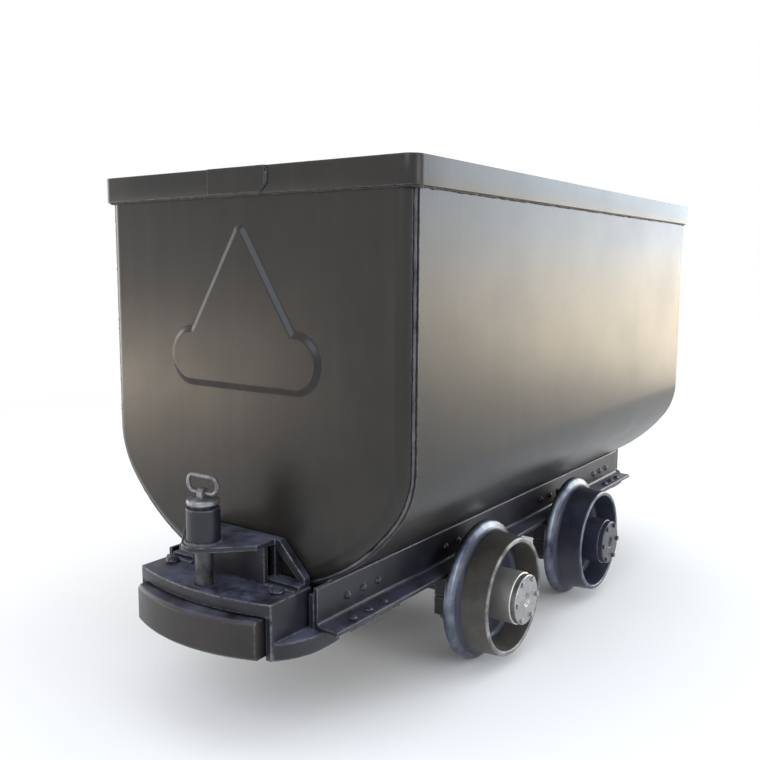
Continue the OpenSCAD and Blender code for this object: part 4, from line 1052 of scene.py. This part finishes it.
class CART_OT_wheels(bpy.types.Operator):
    """Turn the four wheels with their hub caps and bolts"""

    bl_idname = "cart.wheels"
    bl_label = "Wheels"

    # Roundings in the outline of a wheel and of its cap.
    BORE_EASE = 0.001
    NECK_EASE = 0.002
    HUB_EASE = 0.0025
    RIM_EASE = 0.003
    FACE_EASE = 0.0045
    BACK_EASE = 0.007
    NECK_FILLET = 0.008
    CROWN_EASE = 0.0085
    THROAT_FILLET = 0.009
    DISC_FILLET = 0.010
    DISH_FILLET = 0.014
    # Width of a flange's crown, as a share of the flange, and slope of the rim's back edge.
    CROWN = 0.60
    BACK_SLOPE = 0.006
    # Bands of a wheel that have a finish of their own, from the nearest corner of its outline.
    EDGE_BAND = 0.0035
    FLANGE_RISE = 0.012
    FLANGE_IN = 0.002
    TREAD_RISE = 0.006
    TREAD_IN = 0.012
    HUB_RISE = 0.002
    HUB_IN = 0.006
    # Recess in a cap and rounding of its bolts, as shares of the cap's and of the bolts' sizes.
    RECESS_DRAFT = 0.85
    RECESS_FLOOR = 0.62
    BOLT_EASE = 0.6

    def execute(self, context):
        for end in ENDS:
            for side, sign in SIDES.items():
                self.wheel(context, end, side, sign)
                self.cap(context, end, side, sign)
        return {"FINISHED"}

    def wheel(self, context, end, side, sign):
        """Turn one wheel from its outline."""
        settings = context.scene.cart_wheel
        node = f"{end}_{side}_wheel"
        low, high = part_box(node)
        axle = Vector(((low.x + high.x) / 2, 0, (low.z + high.z) / 2))
        crest = (high.z - low.z) / 2
        hub_back = min(abs(low.y), abs(high.y))
        hub_front = max(abs(low.y), abs(high.y))
        back = hub_back + settings.neck
        front = back + settings.width
        disc_back = back + settings.disc_in
        disc_front = disc_back + settings.disc_thick
        tread = settings.tread_radius
        face = tread - settings.tread_fall
        rim_in = face - settings.rim_wall
        rim_deep = rim_in - settings.rim_draft
        throat = back + settings.flange_width
        hub = settings.hub_radius
        outline = (
            (settings.seal_radius, hub_back, self.BORE_EASE, 1),
            (settings.neck_radius, hub_back, self.NECK_EASE, 2),
            (settings.neck_radius, disc_back, self.NECK_FILLET, 4),
            (rim_deep, disc_back, self.DISC_FILLET, 4),
            (rim_in - self.BACK_SLOPE, back, self.NECK_EASE, 2),
            (crest, back, self.BACK_EASE, 5),
            (crest, back + settings.flange_width * self.CROWN, self.CROWN_EASE, 6),
            (tread, throat, self.THROAT_FILLET, 6),
            (face, front, self.FACE_EASE, 4),
            (rim_in, front, self.RIM_EASE, 3),
            (rim_deep, disc_front, self.DISH_FILLET, 5),
            (hub, disc_front, self.DISC_FILLET, 5),
            (hub, hub_front, self.HUB_EASE, 3),
            (settings.nut_radius, hub_front, self.BORE_EASE, 1))
        corners = [corner((axle.x, sign * s, axle.z + r), ease, n) for r, s, ease, n in outline]
        bm = spun_ring(corners, axle, Y_AXIS, settings.turns)
        # The front wheels are run in: dry treads, their pale film partly a painted ground reflection, and
        # bare hubs. All rims are rubbed round the front edge.
        run_in = end == "front"
        tread_low = rim_deep + self.TREAD_RISE
        for part in bm.faces:
            middle = part.calc_center_median()
            radius = math.hypot(middle.x - axle.x, middle.z - axle.z)
            reach = abs(middle.y)
            if radius > rim_in and reach > front - self.EDGE_BAND:
                part.material_index = 3
            elif radius > tread + self.FLANGE_RISE and reach > back + self.FLANGE_IN:
                part.material_index = 4
            elif run_in and radius > tread_low and reach > disc_front + self.TREAD_IN:
                part.material_index = 1
            elif run_in and radius < hub + self.HUB_RISE and reach > disc_front + self.HUB_IN:
                part.material_index = 2
        # Flange crests, and the rear rims' front edges, take the blue-tinted steel, partly a painted sky
        # reflection.
        flange = sky_tinted_flange_steel(context)
        edge = rubbed_rim(context) if run_in else flange
        finishes = [wheel_enamel(context), tread_film_and_ground_steel(context), hub_steel(context), edge, flange]
        piece = make_piece(bm, f"{end}_{side}_turned_wheel", f"{end}_{side}_wheel_set", finishes, [node],
                           BEAD_CREASE)
        level_shading(piece)

    def cap(self, context, end, side, sign):
        """Turn one hub cap and ease its bolts."""
        settings = context.scene.cart_wheel
        node = f"{end}_{side}_hub_cap"
        low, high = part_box(node)
        radius = (high.x - low.x) / 2
        back = min(abs(low.y), abs(high.y))
        thick = high.y - low.y
        place = Vector(((low.x + high.x) / 2, sign * back, (low.z + high.z) / 2))
        recess = settings.cap_recess
        sunk = thick * self.RECESS_FLOOR
        bm = turned([(0.0, 0.0), (radius, 0.0, self.BORE_EASE, 1), (radius, thick, self.RIM_EASE, 4),
                     (recess, thick, self.NECK_EASE, 3),
                     (recess * self.RECESS_DRAFT, sunk, self.NECK_EASE, 3), (0.0, sunk)],
                    72, place, Y_AXIS * sign)
        finish = cap_steel(context) if end == "front" else wheel_enamel(context)
        body = f"{end}_{side}_wheel_set"
        level_shading(make_piece(bm, f"{end}_{side}_turned_cap", body, [finish], [node]))
        bolt_ease = context.scene.cart_underframe.bolt_round * self.BOLT_EASE
        eased_piece(f"{end}_{side}_cap_bolts", f"{end}_{side}_hex_bolts", bolt_ease, finish)


class CART_OT_bumpers(bpy.types.Operator):
    """Ease the bumper castings, buffer heads, stem nuts and deck bolts"""

    bl_idname = "cart.bumpers"
    bl_label = "Bumpers"

    # Rounding of a buffer head, over that of its casting.
    HEAD_ROUND = 0.8
    # Shares of a deck bolt's head that give its dome, shank, crown and their roundings.
    DOME = 0.62
    SHANK = 0.58
    CROWN = 0.5
    CROWN_ROUND = 0.3
    SHOULDER_ROUND = 0.2
    # Share of the dome above its shoulder, and the ease of the bolt's edges.
    SHOULDER = 0.6
    EASE = 0.001

    def execute(self, context):
        settings = context.scene.cart_underframe
        head_round = settings.cast_round * self.HEAD_ROUND
        cast = cast_enamel(context)
        head = head_enamel(context)
        steel = dull_steel(context)
        for end in ENDS:
            eased_piece(f"{end}_bumper_casting", f"{end}_casting", settings.cast_round, cast)
            eased_piece(f"{end}_buffer_head", f"{end}_curved_head", head_round, head)
            eased_piece(f"{end}_stem_nuts", f"{end}_hex_nuts", settings.bolt_round, steel)
            self.deck_bolts(context, end)
        return {"FINISHED"}

    def deck_bolts(self, context, end):
        """Turn the domed bolts of a casting's deck."""
        node = f"{end}_deck_bolts"
        bm = bmesh.new()
        for low, high in islands(node):
            head = (high.x - low.x) / 2
            tall = high.z - low.z
            place = Vector(((low.x + high.x) / 2, (low.y + high.y) / 2, low.z))
            rise = head * self.DOME
            shank = head * self.SHANK
            join(bm, turned([(0.0, 0.0), (shank, 0.0, self.EASE, 1), (shank, tall - rise, 0, 1),
                             (head, tall - rise, self.EASE, 1),
                             (head, tall - rise * self.SHOULDER, head * self.SHOULDER_ROUND, 3),
                             (head * self.CROWN, tall, head * self.CROWN_ROUND, 4), (0.0, tall)],
                            28, place, Z_AXIS))
        piece = make_piece(bm, f"{end}_domed_bolts", CAR, [frame_enamel(context)], [node],
                           ROUND_CREASE)
        level_shading(piece)


class CART_OT_rubbers(bpy.types.Operator):
    """Mould the buffer rubbers with their swollen free faces"""

    bl_idname = "cart.rubbers"
    bl_label = "Buffer rubbers"

    # How far a buffer head is pushed in, and the least length of an edge that is cut up to swell.
    TRAVEL = 0.012
    LONG_EDGE = 0.02
    CUTS = 7

    def execute(self, context):
        settings = context.scene.cart_coupler
        for end, sign in ENDS.items():
            node = f"{end}_buffer_rubber"
            low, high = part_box(node)
            middle = (low + high) / 2
            extent = high - low
            bm = bmesh.new()
            bmesh.ops.create_cube(bm, size=1.0)
            bmesh.ops.scale(bm, vec=extent, verts=bm.verts[:])
            bmesh.ops.bevel(bm, geom=bm.edges[:], offset=settings.rubber_round, offset_type="OFFSET",
                            segments=3, profile=0.5, affect="EDGES", material=-1)
            long_edges = [edge for edge in bm.edges if edge.calc_length() > self.LONG_EDGE]
            bmesh.ops.subdivide_edges(bm, edges=long_edges, cuts=self.CUTS, use_grid_fill=True)
            bm.normal_update()
            for vert in bm.verts:
                free = max(0.0, 1.0 - (2 * vert.co.x / extent.x) ** 2)
                outwards = Vector((0, vert.co.y / extent.y, vert.co.z / extent.z))
                vert.co += outwards * free * settings.rubber_bulge
            bmesh.ops.translate(bm, verts=bm.verts[:], vec=middle)
            close_up(bm)
            piece = make_piece(bm, f"{end}_moulded_rubber", CAR, [buffer_rubber(context)], [node],
                               ROUND_CREASE)
            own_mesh(piece)
        return {"FINISHED"}


class CART_OT_couplers(bpy.types.Operator):
    """Weld the coupler bridges with their pin guides, and turn the pins with their rings"""

    bl_idname = "cart.couplers"
    bl_label = "Couplers"

    # Seeds of the weld beads round the guide tubes and along the bridges' feet.
    GUIDE_SEED = 5.0
    SOLE_SEED = 6.0
    # Roundings of the guide tube, the pin, its head and its lug.
    FINE_EASE = 0.001
    BORE_EASE = 0.0015
    TUBE_EASE = 0.002
    HEAD_EASE = 0.004
    CROWN_EASE = 0.010
    # How far the head's rim lies below its crown, and the crown's width as a share of the head's.
    CROWN_RISE = 0.005
    CROWN = 0.55
    # How far the lug is let into the head, and the bend in radians past which its edges are eased.
    LUG_ROOT = 0.002
    LUG_BEND = 1.0

    def execute(self, context):
        for end, sign in ENDS.items():
            self.bridge(context, end)
            self.sole_welds(context, end, sign)
            self.pin(context, end)
            self.ring(context, end)
        return {"FINISHED"}

    def bridge(self, context, end):
        """Ease the bridge's plates, turn the guide tube on them and weld it down."""
        settings = context.scene.cart_underframe
        pin = context.scene.cart_coupler
        enamel = frame_enamel(context)
        bridge = f"{end}_coupler_bridge"
        eased_piece(bridge, f"{end}_bridge_plates", settings.plate_round, enamel)
        node = f"{end}_pin_guide"
        low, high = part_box(node)
        outer = (high.x - low.x) / 2
        bore = pin.pin_radius + pin.guide_gap
        tall = high.z - low.z
        place = Vector(((low.x + high.x) / 2, 0, low.z))
        outline = ((bore, 0.0, 0.0, 1), (outer, 0.0, self.FINE_EASE, 1), (outer, tall, self.TUBE_EASE, 3),
                   (bore, tall, self.BORE_EASE, 2))
        corners = [corner((place.x + r, 0, place.z + z), ease, n) for r, z, ease, n in outline]
        bm = spun_ring(corners, place, Z_AXIS, 64)
        level_shading(make_piece(bm, f"{end}_guide_tube", CAR, [enamel], [node]))
        start = place + X_AXIS * (outer + settings.bead / 5)
        way = [("turn", place, Z_AXIS, 2 * HALF_TURN, 90)]
        bm = bead(start, Y_AXIS, way, settings.bead, self.GUIDE_SEED)
        # The guide's weld is pale, partly as a painted highlight.
        make_piece(bm, f"{end}_guide_weld", CAR, [flaked_and_highlight_weld(context)], (), BEAD_CREASE)

    def sole_welds(self, context, end, sign):
        """Lay the weld beads in front of the bridge's feet."""
        settings = context.scene.cart_underframe
        node = f"{end}_coupler_bridge"
        low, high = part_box(node)
        points = [vert.co for vert in frame["nodes"][node].data.vertices]
        foot = [co for co in points if co.z < low.z + TOUCH]
        front_x = max(abs(co.x) for co in foot)
        inner_y = min(abs(co.y) for co in foot if abs(co.x) > front_x - TOUCH)
        bm = bmesh.new()
        for side in SIDES.values():
            start = Vector((sign * front_x, side * inner_y, low.z + settings.bead / 3))
            way = [("line", (0, side * (high.y - inner_y), 0), 40)]
            join(bm, bead(start, Y_AXIS * side, way, settings.bead, self.SOLE_SEED + side))
        # The sole beads are pale, partly as painted highlights along the bridge's feet.
        make_piece(bm, f"{end}_sole_weld", CAR, [flaked_and_highlight_weld(context)], (), BEAD_CREASE)

    def pin(self, context, end):
        """Turn the pin with its head, and set the lug with the ring's eye on it."""
        pin = context.scene.cart_coupler
        node = f"{end}_coupling_pin"
        low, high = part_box(node)
        place = Vector(((low.x + high.x) / 2, 0, low.z))
        eye_z = high.z - pin.eye_radius
        head_top = eye_z - pin.eye_rise - low.z
        head_low = head_top - pin.head_height
        collar_low = head_low - pin.collar
        collar = (pin.pin_radius + pin.head_radius) / 2
        tip = pin.pin_radius / 3
        radius = pin.pin_radius
        fine = self.FINE_EASE
        bm = turned([(0.0, 0.0), (radius - tip, 0.0, fine, 2), (radius, tip, fine, 2),
                     (radius, collar_low, 0.0, 1), (collar, collar_low, fine, 2), (collar, head_low, 0.0, 1),
                     (pin.head_radius, head_low, self.TUBE_EASE, 3),
                     (pin.head_radius, head_top - self.CROWN_RISE, self.HEAD_EASE, 4),
                     (pin.head_radius * self.CROWN, head_top, self.CROWN_EASE, 5), (0.0, head_top)],
                    56, place, Z_AXIS)
        lug = bmesh.new()
        lug_low = low.z + head_top - self.LUG_ROOT
        lug_tall = Vector((0, 0, pin.eye_rise + self.LUG_ROOT))
        start = lug.verts.new((place.x - pin.eye_radius, -pin.eye_half, lug_low))
        sweep(lug, [start], [
            ("line", lug_tall, 1),
            ("turn", (place.x, 0, eye_z), Y_AXIS, HALF_TURN, 14),
            ("line", -lug_tall, 1)])
        lug.edges.new((start, max(lug.verts, key=lambda v: (v.co.x, -v.co.z))))
        bmesh.ops.edgeloop_fill(lug, edges=lug.edges[:])
        sweep(lug, whole(lug), [("line", (0, 2 * pin.eye_half, 0), 1)])
        close_up(lug)
        keen = [edge for edge in lug.edges if edge.calc_face_angle(0.0) > self.LUG_BEND]
        bmesh.ops.bevel(lug, geom=keen, offset=fine, offset_type="OFFSET", segments=2, profile=0.5,
                        affect="EDGES", material=-1)
        join(bm, lug)
        for face in bm.faces:
            if face.calc_center_median().z > low.z + head_low:
                face.material_index = 1
        finishes = [dull_steel(context), ring_steel(context)]
        piece = make_piece(bm, f"{end}_turned_pin", f"{end}_pin", finishes, [node])
        level_shading(piece)

    def ring(self, context, end):
        """Bend the pin's ring from round bar."""
        pin = context.scene.cart_coupler
        node = f"{end}_pin_ring"
        low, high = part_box(node)
        middle = (low + high) / 2
        bm = bmesh.new()
        bar = bmesh.ops.create_circle(bm, cap_ends=False, segments=16, radius=pin.ring_bar)["verts"]
        bmesh.ops.rotate(bm, verts=bar, matrix=Z_AXIS.rotation_difference(Y_AXIS).to_matrix())
        bmesh.ops.translate(bm, verts=bar, vec=(middle.x, -pin.ring_half, low.z + pin.ring_bar))
        run = Vector((0, 2 * pin.ring_half, 0))
        sweep(bm, bm.verts[:] + bm.edges[:], [
            ("line", run, 4),
            ("turn", middle + run / 2, X_AXIS, HALF_TURN, 18),
            ("line", -run, 4),
            ("turn", middle - run / 2, X_AXIS, HALF_TURN, 18)])
        close_up(bm)
        make_piece(bm, f"{end}_bent_ring", f"{end}_ring", [ring_steel(context)], [node], BEAD_CREASE)


class CART_OT_running_gear(bpy.types.Operator):
    """Finish the axles, bearings, seals and nuts, whose shapes stay as they are"""

    bl_idname = "cart.running_gear"
    bl_label = "Axles and bearings"

    def execute(self, context):
        finishes = {"front_axle": dull_steel(context), "rear_axle": dull_steel(context),
                    "axle_nuts": dull_steel(context), "bearing_cones": bearing_steel(context)}
        for end in ENDS:
            for side in SIDES:
                finishes[f"{end}_{side}_bearing_cups"] = bearing_steel(context)
                finishes[f"{end}_{side}_hub_seal"] = buffer_rubber(context)
        for node, finish in finishes.items():
            mesh = frame["nodes"][node].data
            mesh.materials.clear()
            mesh.materials.append(finish)
        return {"FINISHED"}


class CART_OT_stage(bpy.types.Operator):
    """Set the pale floor, the soft light and the camera"""

    bl_idname = "cart.stage"
    bl_label = "Stage"

    FLOOR_ROUGHNESS = 0.9
    SENSOR_MM = 36.0
    SEEN_TO = 200.0
    # Soft panels: name, place, aim, width, height, power and colour.
    PANELS = (
        ("far_panel_cool", (5.8, -3.1, 2.3), (0.0, -0.4, 0.9), 5.0, 2.6, 195.0, (0.78, 0.89, 1.0)),
        ("far_panel_warm", (4.6, -2.5, 0.58), (0.0, -0.4, 0.5), 4.0, 1.0, 62.0, (1.0, 0.85, 0.62)),
        ("near_panel", (-0.7, -4.3, 1.5), (-0.8, -0.4, 0.9), 2.0, 2.2, 48.0, (0.86, 0.93, 1.0)),
        ("right_panel", (-1.0, 4.2, 1.15), (-0.8, 0.1, 0.9), 1.8, 2.1, 38.0, (1.0, 0.96, 0.90)),
        ("front_panel", (-4.0, -0.5, 2.9), (-0.8, 0.0, 0.8), 2.0, 2.0, 42.0, (0.72, 0.82, 1.0)),
        ("left_panel_warm", (-3.1, 3.3, 0.24), (-0.8, 0.2, 0.6), 1.8, 0.45, 22.0, (1.0, 0.84, 0.66)),
        ("top_panel", (-0.6, -0.8, 4.6), (-0.4, 0.0, 0.0), 4.0, 3.0, 30.0, (0.72, 0.84, 1.0)),
    )

    def execute(self, context):
        stage = context.scene.cart_stage
        self.floor(context, stage)
        self.sky(context, stage)
        self.lamps(context)
        self.camera(context, stage)
        context.scene.view_settings.view_transform = "Standard"
        return {"FINISHED"}

    def floor(self, context, stage):
        """Lay a pale floor that turns as white as the backdrop further out."""
        bm = bmesh.new()
        bmesh.ops.create_grid(bm, x_segments=1, y_segments=1, size=stage.floor_half)
        mesh = bpy.data.meshes.new("floor")
        bm.to_mesh(mesh)
        bm.free()
        material = bpy.data.materials.new("pale_floor")
        material.use_nodes = True
        tree = material.node_tree
        shader = tree.nodes["Principled BSDF"]
        shader.inputs["Base Color"].default_value = (*stage.floor_tint, 1.0)
        shader.inputs["Roughness"].default_value = self.FLOOR_ROUGHNESS
        shader.inputs["Specular IOR Level"].default_value = 0.0
        place = add(tree, "ShaderNodeTexCoord").outputs["Object"]
        away = add(tree, "ShaderNodeVectorMath", {0: place}, operation="LENGTH").outputs["Value"]
        white_share = times(tree, between(tree, away, stage.floor_near, stage.floor_far), seen_rays(tree))
        white = add(tree, "ShaderNodeEmission", {"Color": (1, 1, 1, 1), "Strength": 1.0})
        both = add(tree, "ShaderNodeMixShader", {0: white_share, 1: shader.outputs[0], 2: white.outputs[0]})
        tree.links.new(both.outputs[0], tree.nodes["Material Output"].inputs["Surface"])
        mesh.materials.append(material)
        floor = bpy.data.objects.new("floor", mesh)
        context.scene.collection.objects.link(floor)

    def sky(self, context, stage):
        """Light the scene evenly, before a white backdrop."""
        world = bpy.data.worlds.new("studio")
        world.use_nodes = True
        tree = world.node_tree
        tree.nodes.clear()
        even = add(tree, "ShaderNodeBackground", {"Color": (1, 1, 1, 1), "Strength": stage.sky_level})
        white = add(tree, "ShaderNodeBackground", {"Color": (1, 1, 1, 1), "Strength": 1.0})
        both = add(tree, "ShaderNodeMixShader", {0: seen_rays(tree), 1: even.outputs[0], 2: white.outputs[0]})
        add(tree, "ShaderNodeOutputWorld", {"Surface": both.outputs[0]})
        context.scene.world = world

    def lamps(self, context):
        """Hang the soft panels."""
        for name, place, aim, width, height, power, colour in self.PANELS:
            lamp = bpy.data.lights.new(name, "AREA")
            lamp.shape = "RECTANGLE"
            lamp.size = width
            lamp.size_y = height
            lamp.energy = power
            lamp.color = colour
            holder = bpy.data.objects.new(name, lamp)
            holder.location = place
            holder.visible_camera = False
            heading = Vector(aim) - Vector(place)
            holder.rotation_euler = heading.to_track_quat("-Z", "Y").to_euler()
            context.scene.collection.objects.link(holder)

    def camera(self, context, stage):
        """Stand the camera at the photograph's angle."""
        yaw, pitch, roll = stage.camera_yaw, stage.camera_pitch, stage.camera_roll
        level = math.cos(pitch)
        ahead = Vector((level * math.cos(yaw), level * math.sin(yaw), math.sin(pitch)))
        right = ahead.cross(Z_AXIS).normalized()
        up = right.cross(ahead)
        lean_right = math.cos(roll) * right + math.sin(roll) * up
        lean_up = math.cos(roll) * up - math.sin(roll) * right
        lens = bpy.data.cameras.new("photo_camera")
        lens.sensor_width = self.SENSOR_MM
        lens.lens = self.SENSOR_MM * stage.focal_share
        lens.clip_end = self.SEEN_TO
        camera = bpy.data.objects.new("photo_camera", lens)
        turn = Matrix((lean_right, lean_up, -ahead)).transposed()
        camera.matrix_world = Matrix.Translation(Vector(stage.camera_place)) @ turn.to_4x4()
        context.scene.collection.objects.link(camera)
        context.scene.camera = camera


BUILDERS = (
    CART_OT_trough, CART_OT_end_plates, CART_OT_rim, CART_OT_tub_welds, CART_OT_sills, CART_OT_rivets,
    CART_OT_axle_seats, CART_OT_wheels, CART_OT_bumpers, CART_OT_rubbers, CART_OT_couplers,
    CART_OT_running_gear, CART_OT_stage,
)
SETTINGS = {
    "cart_tub": TubSettings, "cart_underframe": UnderframeSettings, "cart_wheel": WheelSettings,
    "cart_coupler": CouplerSettings, "cart_finish": FinishSettings, "cart_stage": StageSettings,
}


class CART_PT_panel(bpy.types.Panel):
    """The mine cart's settings and pieces"""

    bl_idname = "CART_PT_panel"
    bl_label = "Mine Cart"
    bl_space_type = "VIEW_3D"
    bl_region_type = "UI"
    bl_category = "Mine Cart"

    def draw(self, context):
        for name, group in SETTINGS.items():
            box = self.layout.box()
            for key in group.__annotations__:
                box.prop(getattr(context.scene, name), key)
        for builder in BUILDERS:
            self.layout.operator(builder.bl_idname)


def register():
    for group in SETTINGS.values():
        bpy.utils.register_class(group)
    for name, group in SETTINGS.items():
        setattr(bpy.types.Scene, name, PointerProperty(type=group))
    for builder in (*BUILDERS, CART_PT_panel):
        bpy.utils.register_class(builder)


def unregister():
    for builder in (CART_PT_panel, *reversed(BUILDERS)):
        bpy.utils.unregister_class(builder)
    for name, group in SETTINGS.items():
        delattr(bpy.types.Scene, name)
        bpy.utils.unregister_class(group)


def main():
    """Build every piece in order."""
    register()
    for builder in BUILDERS:
        group, name = builder.bl_idname.split(".")
        getattr(getattr(bpy.ops, group), name)()


if __name__ == "__main__":
    main()
